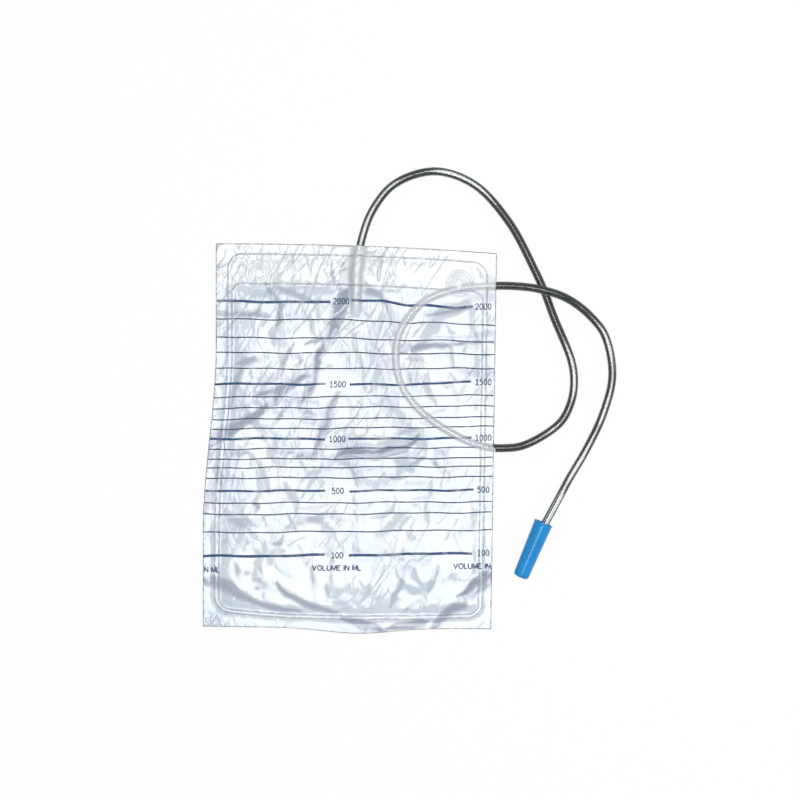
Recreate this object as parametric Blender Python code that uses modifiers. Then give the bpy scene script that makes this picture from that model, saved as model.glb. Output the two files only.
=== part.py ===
"""Urine drainage bag, empty, lying flat with its printed side up.

Two sheets of film are welded together round their edges. A drainage tube is
welded into the top edge, lies in a loose loop beside the bag and across it,
and ends in a stepped connector under a pull-off cap. Metres, +Z up. The
origin is under the middle of the two sheets, +Y points to the bag's top.
"""
import math

import bmesh
import bpy
from mathutils import Vector

NAME = "urine_drainage_bag"

# The two sheets, as they lie
BAG_WIDTH = 0.2396
BAG_HEIGHT = 0.3178
FILM = 0.0002
GAP = 0.0003
TOP_LEFT_INSET = 0.0106
LEFT_BEND_REACH = 0.0763
BOTTOM_RIGHT_INSET = 0.0049
TOP_RIGHT_DROP = 0.0081
TOP_DROP_POWER = 2.2
BOTTOM_LEFT_RISE = 0.0057
BOTTOM_RIGHT_RISE = 0.0036
BOTTOM_BOW_MIDDLE = 0.008
BOTTOM_BOW_REACH = 0.038

# The double weld line that runs round the bag, and the welds of the hanging band
WELD_INSET = 0.0118
WELD_WIDTH = 0.0038
WELD_BEAD = 0.00025
BAND_TOP = 0.0085
BAND_BOTTOM = 0.0325
BAND_WELD_WIDTH = 0.0026

# The slack front sheet: how far it stands off the back one, and its main folds,
# each as two ends (x, y), a height and a half width
SLACK = 0.0012
SLACK_REACH = 0.030
FOLD_REACH = 0.012
FOLD_TAPER = 0.5
FOLDS = (
    ((0.002, 0.110), (-0.031, 0.044), 0.0030, 0.011),
    ((0.010, 0.106), (-0.004, -0.034), 0.0026, 0.010),
    ((0.014, 0.114), (0.030, 0.090), 0.0022, 0.008),
    ((-0.016, 0.117), (-0.066, 0.076), 0.0020, 0.009),
    ((-0.061, 0.096), (-0.041, 0.031), 0.0016, 0.009),
    ((0.012, 0.080), (0.020, 0.030), 0.0014, 0.009),
    ((-0.082, 0.030), (-0.072, -0.068), 0.0016, 0.011),
    ((-0.033, 0.006), (-0.049, -0.100), 0.0018, 0.011),
    ((0.057, -0.034), (0.066, -0.122), 0.0016, 0.011),
    ((0.022, -0.040), (0.000, -0.126), 0.0016, 0.010),
    ((-0.100, -0.120), (-0.020, -0.136), 0.0020, 0.009),
    ((-0.065, -0.102), (-0.004, -0.134), 0.0020, 0.008),
    ((0.080, 0.092), (0.104, 0.098), 0.0014, 0.010),
    ((0.092, -0.112), (0.100, -0.076), 0.0016, 0.010),
)

# The eyelets: how far each centre lies in from its side and below the top edge
LEFT_EYELET = (0.0353, 0.0246)
RIGHT_EYELET = (0.0306, 0.0271)
EYELET_HOLE_R = 0.0030
EYELET_RINGS = (0.0057, 0.0080, 0.0104)
RING_WIDTH = 0.0009
RING_HEIGHT = 0.0003
EYELET_WEB = 0.0001
EYELET_FLAT = 0.0200
EYELET_FADE = 0.0300

# The drainage tube
TUBE_R = 0.0034
TUBE_SIDES = 12
TUBE_POINTS = 80
CURVE_STEPS = 40
FLOOR_GAP = 0.0001
TUBE_REST = 0.0006
CROSSING_GAP = 0.0005
DRAPE_ANGLE = math.radians(60.0)
TUBE_PRESS_NEAR = 0.0085
TUBE_PRESS_FAR = 0.0220
TENT_START = 0.002
TENT_END = 0.034
TENT_SPREAD = 0.30

# The stepped connector in the tube's far end
CLEARANCE = 0.0003
STEM_R = 0.0023
STEM_LENGTH = 0.0330
STEM_CHAMFER = 0.0004
LUMEN_R = 0.0015
HUB_R = 0.0050
HUB_THICKNESS = 0.0018
CONE_BASE_R = 0.0042
CONE_TIP_R = 0.0026
CONE_LENGTH = 0.0320
CONE_STEPS = 4
STEP_BARB = 0.0004
BARB_TOP = 0.25
BARB_FOOT = 0.20

# The pull-off cap, loose on the connector
CAP_LENGTH = 0.0483
CAP_WALL = 0.0010
CAP_FLOOR = 0.0014
CAP_LIP = 0.00025
CAP_LIP_LENGTH = 0.0022
CAP_LIP_TAPER = 0.6
CAP_LIP_CHAMFER = 0.0003
CAP_TIP_ROUND = 0.0016
HUB_PLAY = 0.00145
TIP_PLAY = 0.0030
HUB_DEPTH = 0.0060
CAP_MOUTH = (0.1572, -0.0679)
CAP_HEADING = math.radians(22.9)
SEAT_ANGLE = math.radians(26.0)
TURN_STEPS = 32

# How finely the pieces are divided, and how far a cutter runs past its piece
SIDE_COLUMNS = 14
POUCH_ROWS = 30
BAND_ROWS = 2
OUTLINE_STEPS = 20
RIGHT_STEPS = 4
EYELET_SIDES = 24
DRAPE_SHARES = (0.4, 0.74, 1.0)
MERGE = 0.00001
BORE_PAST = 0.004
PUNCH_PAST = 0.002

# Heights of the tube's centre line
TUBE_INSIDE = FILM + GAP + TUBE_R
TUBE_ON_FLOOR = FLOOR_GAP + TUBE_R
TUBE_ON_BAG = 2.0 * FILM + GAP + TUBE_REST + TUBE_R
TUBE_ON_TUBE = TUBE_ON_FLOOR + 2.0 * TUBE_R + CROSSING_GAP


def climb(share):
    """Height of the centre line, share of the way up to the pass over itself."""
    return TUBE_ON_FLOOR + share * (TUBE_ON_TUBE - TUBE_ON_FLOOR)


# The tube's route: out of the bag, over the floor, across the bag, over itself
ROUTE = (
    (0.0049, 0.1161, TUBE_INSIDE),
    (0.0057, 0.1390, TUBE_INSIDE),
    (0.0086, 0.1577, TUBE_INSIDE),
    (0.0179, 0.1846, TUBE_ON_FLOOR),
    (0.0368, 0.2073, TUBE_ON_FLOOR),
    (0.0693, 0.2173, TUBE_ON_FLOOR),
    (0.1012, 0.2065, TUBE_ON_FLOOR),
    (0.1294, 0.1759, TUBE_ON_FLOOR),
    (0.1502, 0.1371, TUBE_ON_FLOOR),
    (0.1577, 0.1206, TUBE_ON_FLOOR),
    (0.1655, 0.0996, TUBE_ON_FLOOR),
    (0.1804, 0.0620, TUBE_ON_FLOOR),
    (0.1822, 0.0437, TUBE_ON_FLOOR),
    (0.1791, 0.0277, TUBE_ON_FLOOR),
    (0.1704, 0.0124, TUBE_ON_FLOOR),
    (0.1423, -0.0051, climb(0.05)),
    (0.1255, -0.0077, climb(0.13)),
    (0.1083, -0.0063, TUBE_ON_BAG),
    (0.0874, 0.0020, TUBE_ON_BAG),
    (0.0584, 0.0216, TUBE_ON_BAG),
    (0.0417, 0.0440, TUBE_ON_BAG),
    (0.0374, 0.0680, TUBE_ON_BAG),
    (0.0415, 0.0889, TUBE_ON_BAG),
    (0.0611, 0.1117, climb(0.36)),
    (0.0910, 0.1222, climb(0.70)),
    (0.1206, 0.1239, climb(0.88)),
    (0.1345, 0.1235, climb(0.94)),
    (0.1467, 0.1223, climb(0.98)),
    (0.1585, 0.1198, climb(1.00)),
    (0.1714, 0.1158, climb(0.86)),
    (0.1840, 0.1089, climb(0.56)),
    (0.1970, 0.0978, climb(0.24)),
    (0.2073, 0.0839, climb(0.04)),
    (0.2134, 0.0517, TUBE_ON_FLOOR),
    (0.2059, 0.0202, TUBE_ON_FLOOR),
    (0.1924, -0.0085, climb(0.04)),
    (0.1777, -0.0334, climb(0.20)),
)


def smooth(value, low, high):
    """0 below low, 1 above high, with an easy curve between them."""
    t = min(max((value - low) / (high - low), 0.0), 1.0)
    return t * t * (3.0 - 2.0 * t)


def mix(a, b, t):
    return a + (b - a) * t


def spread(start, end, count):
    """count values evenly between start and end, without the two ends."""
    return [mix(start, end, (i + 1) / (count + 1)) for i in range(count)]


# Outline of the sheets
def left_edge(y):
    return -BAG_WIDTH / 2 + TOP_LEFT_INSET * smooth(y, -LEFT_BEND_REACH, LEFT_BEND_REACH)


def right_edge(y):
    return BAG_WIDTH / 2 - BOTTOM_RIGHT_INSET * (0.5 - y / BAG_HEIGHT)


def top_edge(x):
    share = min(max((x + BAG_WIDTH / 2 - TOP_LEFT_INSET) / (BAG_WIDTH - TOP_LEFT_INSET), 0.0), 1.0)
    return BAG_HEIGHT / 2 - TOP_RIGHT_DROP * share ** TOP_DROP_POWER


def bottom_edge(x):
    rise = mix(BOTTOM_LEFT_RISE, BOTTOM_RIGHT_RISE, x / BAG_WIDTH + 0.5)
    bow = math.exp(-((x - BOTTOM_BOW_MIDDLE) / BOTTOM_BOW_REACH) ** 2)
    return -BAG_HEIGHT / 2 + rise * (1.0 - bow)


def eyelet_centres():
    left = left_edge(BAG_HEIGHT / 2 - LEFT_EYELET[1]) + LEFT_EYELET[0]
    right = right_edge(BAG_HEIGHT / 2 - RIGHT_EYELET[1]) - RIGHT_EYELET[0]
    places = ((left, LEFT_EYELET[1]), (right, RIGHT_EYELET[1]))
    return [Vector((x, top_edge(x) - drop)) for x, drop in places]


# The tube's centre line
def smooth_route(points, count):
    """count points, evenly spaced, on the smooth curve through the given ones."""
    first = points[0] * 2.0 - points[1]
    last = points[-1] * 2.0 - points[-2]
    chain = [first] + points + [last]
    fine = []
    for a, b, c, d in zip(chain, chain[1:], chain[2:], chain[3:]):
        knots = [0.0]
        for p, q in ((a, b), (b, c), (c, d)):
            knots.append(knots[-1] + math.sqrt((q - p).length))
        k0, k1, k2, k3 = knots
        for step in range(CURVE_STEPS):
            t = mix(k1, k2, step / CURVE_STEPS)
            ab = a.lerp(b, (t - k0) / (k1 - k0))
            bc = b.lerp(c, (t - k1) / (k2 - k1))
            cd = c.lerp(d, (t - k2) / (k3 - k2))
            abc = ab.lerp(bc, (t - k0) / (k2 - k0))
            bcd = bc.lerp(cd, (t - k1) / (k3 - k1))
            fine.append(abc.lerp(bcd, (t - k1) / (k2 - k1)))
    fine.append(points[-1])
    run = [0.0]
    for p, q in zip(fine, fine[1:]):
        run.append(run[-1] + (q - p).length)
    even = []
    i = 0
    for n in range(count):
        want = run[-1] * n / (count - 1)
        while i < len(run) - 2 and run[i + 1] < want:
            i += 1
        even.append(fine[i].lerp(fine[i + 1], (want - run[i]) / (run[i + 1] - run[i])))
    return even


# The cap's bore and the way the connector lies in it
def bore_radius(depth):
    at_hub = HUB_R + HUB_PLAY
    at_tip = CONE_TIP_R + TIP_PLAY
    return at_hub + (at_tip - at_hub) * (depth - HUB_DEPTH) / CONE_LENGTH


def cap_frame():
    """Mouth centre and direction of the cap, lying on its lip and its tip."""
    lip = (CAP_LIP_LENGTH / 2, bore_radius(0.0) + CAP_WALL + CAP_LIP)
    tip = (CAP_LENGTH - CAP_TIP_ROUND, bore_radius(CAP_LENGTH - CAP_TIP_ROUND) + CAP_WALL)
    tilt = math.atan2(lip[1] - tip[1], tip[0] - lip[0])
    height = FLOOR_GAP + lip[0] * math.sin(tilt) + lip[1] * math.cos(tilt)
    mouth = Vector((CAP_MOUTH[0], CAP_MOUTH[1], height))
    flat = Vector((-math.sin(CAP_HEADING), -math.cos(CAP_HEADING), 0.0))
    return mouth, flat * math.cos(tilt) - Vector((0.0, 0.0, math.sin(tilt)))


def connector_frame():
    """Hub centre and direction of the connector, which leans in the loose cap."""
    mouth, along = cap_frame()
    side = Vector((-along.y, along.x, 0.0)).normalized()
    down = along.cross(side).normalized()
    if down.z > 0.0:
        down.negate()
    seat = side * math.cos(SEAT_ANGLE) + down * math.sin(SEAT_ANGLE)
    room = CLEARANCE + HUB_THICKNESS * TIP_PLAY / CONE_LENGTH
    hub = mouth + along * HUB_DEPTH + seat * (HUB_PLAY - room)
    tip = mouth + along * (HUB_DEPTH + CONE_LENGTH) - seat * (TIP_PLAY - room)
    return hub, (tip - hub).normalized()


def tube_route():
    hub, along = connector_frame()
    end = hub - along * CLEARANCE
    stem_start = hub - along * STEM_LENGTH
    points = [Vector(p) for p in ROUTE] + [stem_start, end]
    return smooth_route(points, TUBE_POINTS)


# Height of the front sheet's underside
def stretches_on_bag(route):
    """The pieces of the centre line that lie higher than the tube's inner end."""
    lowest = mix(TUBE_INSIDE, TUBE_ON_BAG, 0.5)
    return [(a, b) for a, b in zip(route, route[1:]) if min(a.z, b.z) > lowest]


def near_tube(x, y, lying):
    """Distance in plan to the tube where it lies on the bag."""
    best = 1.0
    place = Vector((x, y))
    for a, b in lying:
        run = b.xy - a.xy
        t = min(max((place - a.xy).dot(run) / run.length_squared, 0.0), 1.0)
        best = min(best, (place - a.xy - run * t).length)
    return best


def fold_height(x, y):
    total = 0.0
    place = Vector((x, y))
    for start, end, height, half in FOLDS:
        a = Vector(start)
        run = Vector(end) - a
        t = (place - a).dot(run) / run.length_squared
        across = (place - a - run * min(max(t, 0.0), 1.0)).length
        taper = 1.0 - FOLD_TAPER * min(max(t, 0.0), 1.0)
        total += height * taper * (1.0 - smooth(across, 0.0, half))
    return total


def drape_height(offset):
    """Underside of a sheet laid over the tube, at an offset from its middle."""
    radius = TUBE_R + GAP
    off = abs(offset)
    touch = radius * math.sin(DRAPE_ANGLE)
    if off < touch:
        return TUBE_INSIDE + math.sqrt(radius ** 2 - off ** 2)
    return TUBE_INSIDE + radius * math.cos(DRAPE_ANGLE) - (off - touch) * math.tan(DRAPE_ANGLE)


def slack_left(x, y, lying, centres):
    """1 where the sheet is free, 0 where the tube or an eyelet holds it flat."""
    free = smooth(near_tube(x, y, lying), TUBE_PRESS_NEAR, TUBE_PRESS_FAR)
    for centre in centres:
        free *= smooth((Vector((x, y)) - centre).length, EYELET_FLAT, EYELET_FADE)
    return free


def sheet_height(x, y, axis_x, slack):
    flat = FILM + GAP
    inside = min(
        x - left_edge(y) - WELD_INSET,
        right_edge(y) - WELD_INSET - x,
        y - bottom_edge(x) - WELD_INSET,
        top_edge(x) - BAND_BOTTOM - y,
    )
    free = smooth(inside, WELD_WIDTH, SLACK_REACH) * SLACK
    free += smooth(inside, WELD_WIDTH, FOLD_REACH) * fold_height(x, y)
    free *= slack
    tube_end = ROUTE[0][1]
    past_end = max(tube_end - TENT_START - y, 0.0)
    fade = 1.0 - smooth(past_end, 0.0, TENT_END)
    spread_off = (x - axis_x) / (1.0 + TENT_SPREAD * past_end / TENT_END)
    hump = (drape_height(spread_off) - flat) * fade
    return flat + max(free, hump)


# Making and keeping objects
def clear_scene():
    for old in list(bpy.data.objects):
        bpy.data.objects.remove(old)


def new_collection(name):
    made = bpy.data.collections.new(name)
    bpy.context.scene.collection.children.link(made)
    return made


def material(name, colour, roughness, alpha=1.0):
    made = bpy.data.materials.new(name)
    made.use_nodes = True
    shader = made.node_tree.nodes["Principled BSDF"]
    shader.inputs["Base Color"].default_value = (*colour, 1.0)
    shader.inputs["Roughness"].default_value = roughness
    shader.inputs["Metallic"].default_value = 0.0
    shader.inputs["Alpha"].default_value = alpha
    return made


def keep_mesh(name, mesh, collection, finish=None):
    made = bpy.data.objects.new(name, mesh)
    collection.objects.link(made)
    if finish:
        mesh.materials.append(finish)
    return made


def as_guide(tool):
    tool.hide_render = True
    tool.display_type = "WIRE"
    return tool


def join_by_boolean(target, tool, operation):
    cut = target.modifiers.new(operation.lower(), "BOOLEAN")
    cut.operation = operation
    cut.solver = "EXACT"
    cut.object = tool


def turned(name, profile, collection, finish=None, steps=TURN_STEPS):
    """A solid turned about Z from a closed profile of (radius, height) points."""
    mesh = bpy.data.meshes.new(name)
    points = [(radius, 0.0, height) for radius, height in profile]
    edges = [(i, (i + 1) % len(points)) for i in range(len(points))]
    if profile[0][0] == 0.0:
        edges = edges[:-1]
    mesh.from_pydata(points, edges, [])
    made = keep_mesh(name, mesh, collection, finish)
    screw = made.modifiers.new("turn", "SCREW")
    screw.angle = 2.0 * math.pi
    screw.steps = steps
    screw.render_steps = steps
    screw.use_merge_vertices = True
    screw.merge_threshold = MERGE
    screw.use_smooth_shade = True
    return made


def bar(name, start, end, radius, collection, sides=EYELET_SIDES):
    """A plain round bar between two points, used to cut with."""
    mesh = bpy.data.meshes.new(name)
    body = bmesh.new()
    bmesh.ops.create_cone(body, cap_ends=True, segments=sides, radius1=radius,
                          radius2=radius, depth=(end - start).length)
    body.to_mesh(mesh)
    body.free()
    made = keep_mesh(name, mesh, collection)
    made.location = (start + end) / 2
    made.rotation_euler = (end - start).to_track_quat("Z", "Y").to_euler()
    return as_guide(made)


# The pieces
def sheet_columns(y, axis_x):
    """x of the front sheet's lines at one height, left to right."""
    touch = (TUBE_R + GAP) * math.sin(DRAPE_ANGLE)
    reach = touch + (drape_height(touch) - FILM - GAP) / math.tan(DRAPE_ANGLE)
    over_tube = [share * touch for share in DRAPE_SHARES] + [reach]
    tube_lines = [-step for step in reversed(over_tube)] + [0.0] + over_tube
    left = left_edge(y)
    right = right_edge(y)
    half = WELD_WIDTH / 2
    left_welds = [left + WELD_INSET + step for step in (-half, 0.0, half)]
    right_welds = [right - WELD_INSET + step for step in (-half, 0.0, half)]
    lines = [left] + left_welds
    lines += spread(left_welds[-1], axis_x - reach, SIDE_COLUMNS)
    lines += [axis_x + step for step in tube_lines]
    lines += spread(axis_x + reach, right_welds[0], SIDE_COLUMNS)
    return lines + right_welds + [right]


def sheet_rows(bottom, top):
    """y of the front sheet's lines in one column, bottom to top."""
    half = WELD_WIDTH / 2
    band_half = BAND_WELD_WIDTH / 2
    rows = [bottom]
    rows += [bottom + WELD_INSET + step for step in (-half, 0.0, half)]
    band = [top - BAND_BOTTOM + step for step in (-band_half, 0.0, band_half)]
    rows += spread(rows[-1], band[0], POUCH_ROWS)
    rows += band
    upper = [top - BAND_TOP + step for step in (-band_half, 0.0, band_half)]
    rows += spread(band[-1], upper[0], BAND_ROWS)
    return rows + upper + [top]


def weld_lines(column_count, row_count):
    """Column and row numbers of the raised middle lines of the welds."""
    columns = (2, column_count - 3)
    rows = (2, row_count - 3, row_count - 8)
    return columns, rows


def inside_axis(y, route):
    """x of the inner tube's centre line at one height."""
    if y <= route[0].y:
        return route[0].x
    for a, b in zip(route, route[1:]):
        if y <= b.y:
            return mix(a.x, b.x, (y - a.y) / (b.y - a.y))
    return route[0].x


def make_front_film(parts, tools, route, finish):
    """The slack printed sheet: a grid drawn over what lies under it."""
    centres = eyelet_centres()
    lying = stretches_on_bag(route)
    nominal = sheet_rows(-BAG_HEIGHT / 2, BAG_HEIGHT / 2)
    row_count = len(nominal)
    column_count = len(sheet_columns(0.0, inside_axis(0.0, route)))
    bead_columns, bead_rows = weld_lines(column_count, row_count)
    mesh = bpy.data.meshes.new("front_film")
    body = bmesh.new()
    bmesh.ops.create_grid(body, x_segments=column_count - 1, y_segments=row_count - 1, size=0.5)
    for vert in body.verts:
        column = round((vert.co.x + 0.5) * (column_count - 1))
        row = round((vert.co.y + 0.5) * (row_count - 1))
        y = nominal[row]
        for _ in range(2):
            axis_x = inside_axis(y, route)
            x = sheet_columns(y, axis_x)[column]
            y = sheet_rows(bottom_edge(x), top_edge(x))[row]
        slack = slack_left(x, y, lying, centres)
        z = sheet_height(x, y, axis_x, slack)
        in_bag = WELD_INSET - WELD_WIDTH < x - left_edge(y) and x < right_edge(y) - WELD_INSET + WELD_WIDTH
        on_column = column in bead_columns and y < top_edge(x) - BAND_TOP
        on_row = row in bead_rows and in_bag
        if (on_column or on_row) and z < FILM + GAP + WELD_BEAD:
            z += WELD_BEAD * slack
        vert.co = Vector((x, y, z))
    body.to_mesh(mesh)
    body.free()
    film = keep_mesh("front_film", mesh, parts, finish)
    shell = film.modifiers.new("thickness", "SOLIDIFY")
    shell.thickness = FILM
    shell.offset = 1.0
    top = 2.0 * FILM + GAP
    for number, centre in enumerate(centres):
        rings = as_guide(turned(f"eyelet_rings_{number}", ring_profile(), tools, steps=EYELET_SIDES))
        rings.location = (centre.x, centre.y, top)
        join_by_boolean(film, rings, "UNION")
        low = Vector((centre.x, centre.y, -PUNCH_PAST))
        high = Vector((centre.x, centre.y, top + PUNCH_PAST))
        punch = bar(f"eyelet_punch_{number}", low, high, EYELET_HOLE_R, tools)
        join_by_boolean(film, punch, "DIFFERENCE")
    return film


def ring_profile():
    """The embossed rings round an eyelet, on a thin web sunk into the film."""
    inside_hole = EYELET_HOLE_R - RING_WIDTH / 2
    profile = [(inside_hole, -FILM / 2), (inside_hole, RING_HEIGHT)]
    profile.append((EYELET_HOLE_R + RING_WIDTH / 2, RING_HEIGHT))
    profile.append((EYELET_HOLE_R + RING_WIDTH, EYELET_WEB))
    for radius in EYELET_RINGS:
        half = RING_WIDTH / 2
        profile += [(radius - half, EYELET_WEB), (radius - half / 2, RING_HEIGHT),
                    (radius + half / 2, RING_HEIGHT), (radius + half, EYELET_WEB)]
    profile.append((EYELET_RINGS[-1] + RING_WIDTH, -FILM / 2))
    return profile


def make_back_film(parts, finish):
    """The flat white sheet, an outline with the two eyelet holes."""
    curve = bpy.data.curves.new("back_film", "CURVE")
    curve.dimensions = "2D"
    curve.fill_mode = "BOTH"
    curve.extrude = FILM / 2
    left_x = left_edge(-BAG_HEIGHT / 2)
    right_x = right_edge(-BAG_HEIGHT / 2)
    outline = []
    for x in [left_x] + spread(left_x, right_x, OUTLINE_STEPS):
        outline.append((x, bottom_edge(x)))
    for y in [bottom_edge(right_x)] + spread(bottom_edge(right_x), top_edge(BAG_WIDTH / 2), RIGHT_STEPS):
        outline.append((right_edge(y), y))
    top_left = left_edge(BAG_HEIGHT / 2)
    for x in [BAG_WIDTH / 2] + spread(BAG_WIDTH / 2, top_left, OUTLINE_STEPS):
        outline.append((x, top_edge(x)))
    for y in [BAG_HEIGHT / 2] + spread(BAG_HEIGHT / 2, bottom_edge(left_x), OUTLINE_STEPS):
        outline.append((left_edge(y), y))
    add_ring(curve, outline)
    for centre in eyelet_centres():
        angles = [2.0 * math.pi * i / EYELET_SIDES for i in range(EYELET_SIDES)]
        add_ring(curve, [(centre.x + EYELET_HOLE_R * math.cos(a),
                          centre.y + EYELET_HOLE_R * math.sin(a)) for a in angles])
    film = bpy.data.objects.new("back_film", curve)
    film.location.z = FILM / 2
    curve.materials.append(finish)
    parts.objects.link(film)
    return film


def add_ring(curve, points):
    spline = curve.splines.new("POLY")
    spline.points.add(len(points) - 1)
    for slot, (x, y) in zip(spline.points, points):
        slot.co = (x, y, 0.0, 1.0)
    spline.use_cyclic_u = True


def make_tube(parts, tools, route, finish):
    """The tube: one bar along its route, its far end bored for the connector."""
    curve = bpy.data.curves.new("tube_line", "CURVE")
    curve.dimensions = "3D"
    curve.bevel_depth = TUBE_R
    curve.bevel_resolution = (TUBE_SIDES - 4) // 2
    curve.use_fill_caps = True
    spline = curve.splines.new("POLY")
    spline.points.add(len(route) - 1)
    for slot, point in zip(spline.points, route):
        slot.co = (*point, 1.0)
    line = bpy.data.objects.new("tube_line", curve)
    parts.objects.link(line)
    bpy.context.view_layer.update()
    shape = line.evaluated_get(bpy.context.evaluated_depsgraph_get())
    mesh = bpy.data.meshes.new_from_object(shape)
    body = bmesh.new()
    body.from_mesh(mesh)
    bmesh.ops.remove_doubles(body, verts=body.verts, dist=MERGE)
    body.to_mesh(mesh)
    body.free()
    mesh.name = "drainage_tube"
    mesh.materials.clear()
    tube = keep_mesh("drainage_tube", mesh, parts, finish)
    tube.matrix_world = line.matrix_world
    bpy.data.objects.remove(line)
    hub, along = connector_frame()
    bore = bar("tube_bore", hub - along * (STEM_LENGTH + CLEARANCE), hub + along * BORE_PAST,
               STEM_R + CLEARANCE, tools)
    join_by_boolean(tube, bore, "DIFFERENCE")
    return tube


def connector_profile():
    """Outer side from tip to stem end, then back up the lumen."""
    outer = []
    step = (CONE_LENGTH - HUB_THICKNESS) / CONE_STEPS
    for number in range(CONE_STEPS):
        high = CONE_LENGTH - number * step
        low = high - step
        start = mix(CONE_TIP_R, CONE_BASE_R - STEP_BARB, number / CONE_STEPS)
        end = mix(CONE_TIP_R, CONE_BASE_R - STEP_BARB, (number + 1) / CONE_STEPS)
        outer.append((start, high))
        outer.append((end + STEP_BARB, low + BARB_TOP * step))
        outer.append((end, low + BARB_FOOT * step))
    outer.append((CONE_BASE_R - STEP_BARB, HUB_THICKNESS))
    outer += [(HUB_R, HUB_THICKNESS), (HUB_R, 0.0), (STEM_R, 0.0)]
    outer += [(STEM_R, STEM_CHAMFER - STEM_LENGTH), (STEM_R - STEM_CHAMFER, -STEM_LENGTH)]
    return outer + [(LUMEN_R, -STEM_LENGTH), (LUMEN_R, CONE_LENGTH)]


def cap_profile():
    """Outer side from the closed tip back to the mouth, then the bore."""
    def outer(depth):
        return bore_radius(depth) + CAP_WALL

    turn = [math.radians(a) for a in (90.0, 60.0, 30.0, 0.0)]
    edge_depth = CAP_LENGTH - CAP_TIP_ROUND
    edge_r = outer(edge_depth) - CAP_TIP_ROUND
    profile = [(0.0, CAP_LENGTH)]
    profile += [(edge_r + CAP_TIP_ROUND * math.cos(a), edge_depth + CAP_TIP_ROUND * math.sin(a))
                for a in turn]
    profile += [(outer(CAP_LIP_LENGTH), CAP_LIP_LENGTH)]
    lip = outer(0.0) + CAP_LIP
    profile += [(lip, CAP_LIP_LENGTH * CAP_LIP_TAPER), (lip, CAP_LIP_CHAMFER)]
    profile += [(lip - CAP_LIP_CHAMFER, 0.0)]
    profile += [(bore_radius(0.0), 0.0), (bore_radius(CAP_LENGTH - CAP_FLOOR), CAP_LENGTH - CAP_FLOOR)]
    return profile + [(0.0, CAP_LENGTH - CAP_FLOOR)]


def axis_empty(name, place, along, collection):
    empty = bpy.data.objects.new(name, None)
    empty.location = place
    empty.rotation_euler = along.to_track_quat("Z", "Y").to_euler()
    collection.objects.link(empty)
    return empty


def build():
    clear_scene()
    parts = new_collection(NAME)
    tools = new_collection("cutters")
    route = tube_route()
    clear_film = material("clear_film", (0.86, 0.89, 0.92), 0.18, alpha=0.35)
    white_film = material("white_film", (0.88, 0.90, 0.92), 0.35)
    clear_pvc = material("clear_pvc", (0.72, 0.76, 0.76), 0.12, alpha=0.45)
    natural_plastic = material("natural_plastic", (0.85, 0.87, 0.86), 0.30)
    blue_plastic = material("blue_plastic", (0.02, 0.24, 0.62), 0.35)
    make_back_film(parts, white_film)
    make_front_film(parts, tools, route, clear_film)
    make_tube(parts, tools, route, clear_pvc)
    hub, lean = connector_frame()
    connector = turned("tube_connector", connector_profile(), parts, natural_plastic)
    connector.parent = axis_empty("connector_axis", hub, lean, parts)
    mouth, along = cap_frame()
    cap = turned("connector_cap", cap_profile(), parts, blue_plastic)
    cap.parent = axis_empty("cap_axis", mouth, along, parts)
    bpy.context.view_layer.update()


build()
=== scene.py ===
# %% [markdown]
# # A urine drainage bag, lying flat
#
# The object is an empty two-litre bag of soft film with its long drainage
# tube. Its solids, which carry the sizes and the one moving piece, come from
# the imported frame. This lesson dresses them: slack crinkled film, heat welds,
# a printed volume scale, a hollow clear tube and a moulded blue cap. Units
# are metres, +Z is up, and +Y points to the top of the bag.

# %% Load the frame
import math

import bmesh
import bpy
import numpy as np
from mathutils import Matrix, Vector
from mathutils.bvhtree import BVHTree


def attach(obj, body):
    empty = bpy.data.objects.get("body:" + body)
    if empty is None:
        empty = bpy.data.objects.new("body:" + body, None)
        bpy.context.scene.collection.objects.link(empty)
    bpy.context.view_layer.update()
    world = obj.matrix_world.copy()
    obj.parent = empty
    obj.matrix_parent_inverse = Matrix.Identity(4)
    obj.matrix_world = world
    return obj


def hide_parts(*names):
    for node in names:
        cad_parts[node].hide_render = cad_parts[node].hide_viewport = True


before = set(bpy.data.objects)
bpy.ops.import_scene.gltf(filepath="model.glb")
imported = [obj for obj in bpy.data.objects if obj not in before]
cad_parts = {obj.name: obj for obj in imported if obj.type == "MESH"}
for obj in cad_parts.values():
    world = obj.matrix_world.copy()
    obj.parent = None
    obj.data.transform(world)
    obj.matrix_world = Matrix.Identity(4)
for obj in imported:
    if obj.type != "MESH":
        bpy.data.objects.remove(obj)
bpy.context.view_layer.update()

# %% [markdown]
# ## The camera
#
# The bag is seen from straight above, so a camera on the vertical through the
# middle of the picture is enough. Its lens follows from how much of the
# surface the picture takes in, which is easier to reason about than an angle.

# %% The camera
PICTURE_WIDTH = 0.652
PICTURE_MIDDLE = (0.04075, 0.0314)
CAMERA_HEIGHT = 1.5
SENSOR = 36.0

camera_data = bpy.data.cameras.new("camera")
camera_data.sensor_width = SENSOR
camera_data.lens = SENSOR * CAMERA_HEIGHT / PICTURE_WIDTH
camera = bpy.data.objects.new("camera", camera_data)
camera.location = (*PICTURE_MIDDLE, CAMERA_HEIGHT)
bpy.context.scene.collection.objects.link(camera)
bpy.context.scene.camera = camera
bpy.context.scene.view_settings.view_transform = "Standard"
print("lens", round(camera_data.lens, 1), "mm")

# %% [markdown]
# ## Floor, world and lamps
#
# Clear glossy film shows what it reflects. One large lamp straight above is
# mirrored by every flat stretch, which turns near white, while the flanks of
# the folds tilt away from it and stay grey. A world that is bright to the eye
# but dim as a light keeps those flanks soft.

# %% Node helpers
def add_node(tree, kind, **settings):
    """A node of one kind, with its properties and its inputs' values set by name."""
    node = tree.nodes.new(kind)
    for name, value in settings.items():
        if hasattr(node, name):
            setattr(node, name, value)
        else:
            node.inputs[name.replace("_", " ")].default_value = value
    return node


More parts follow.
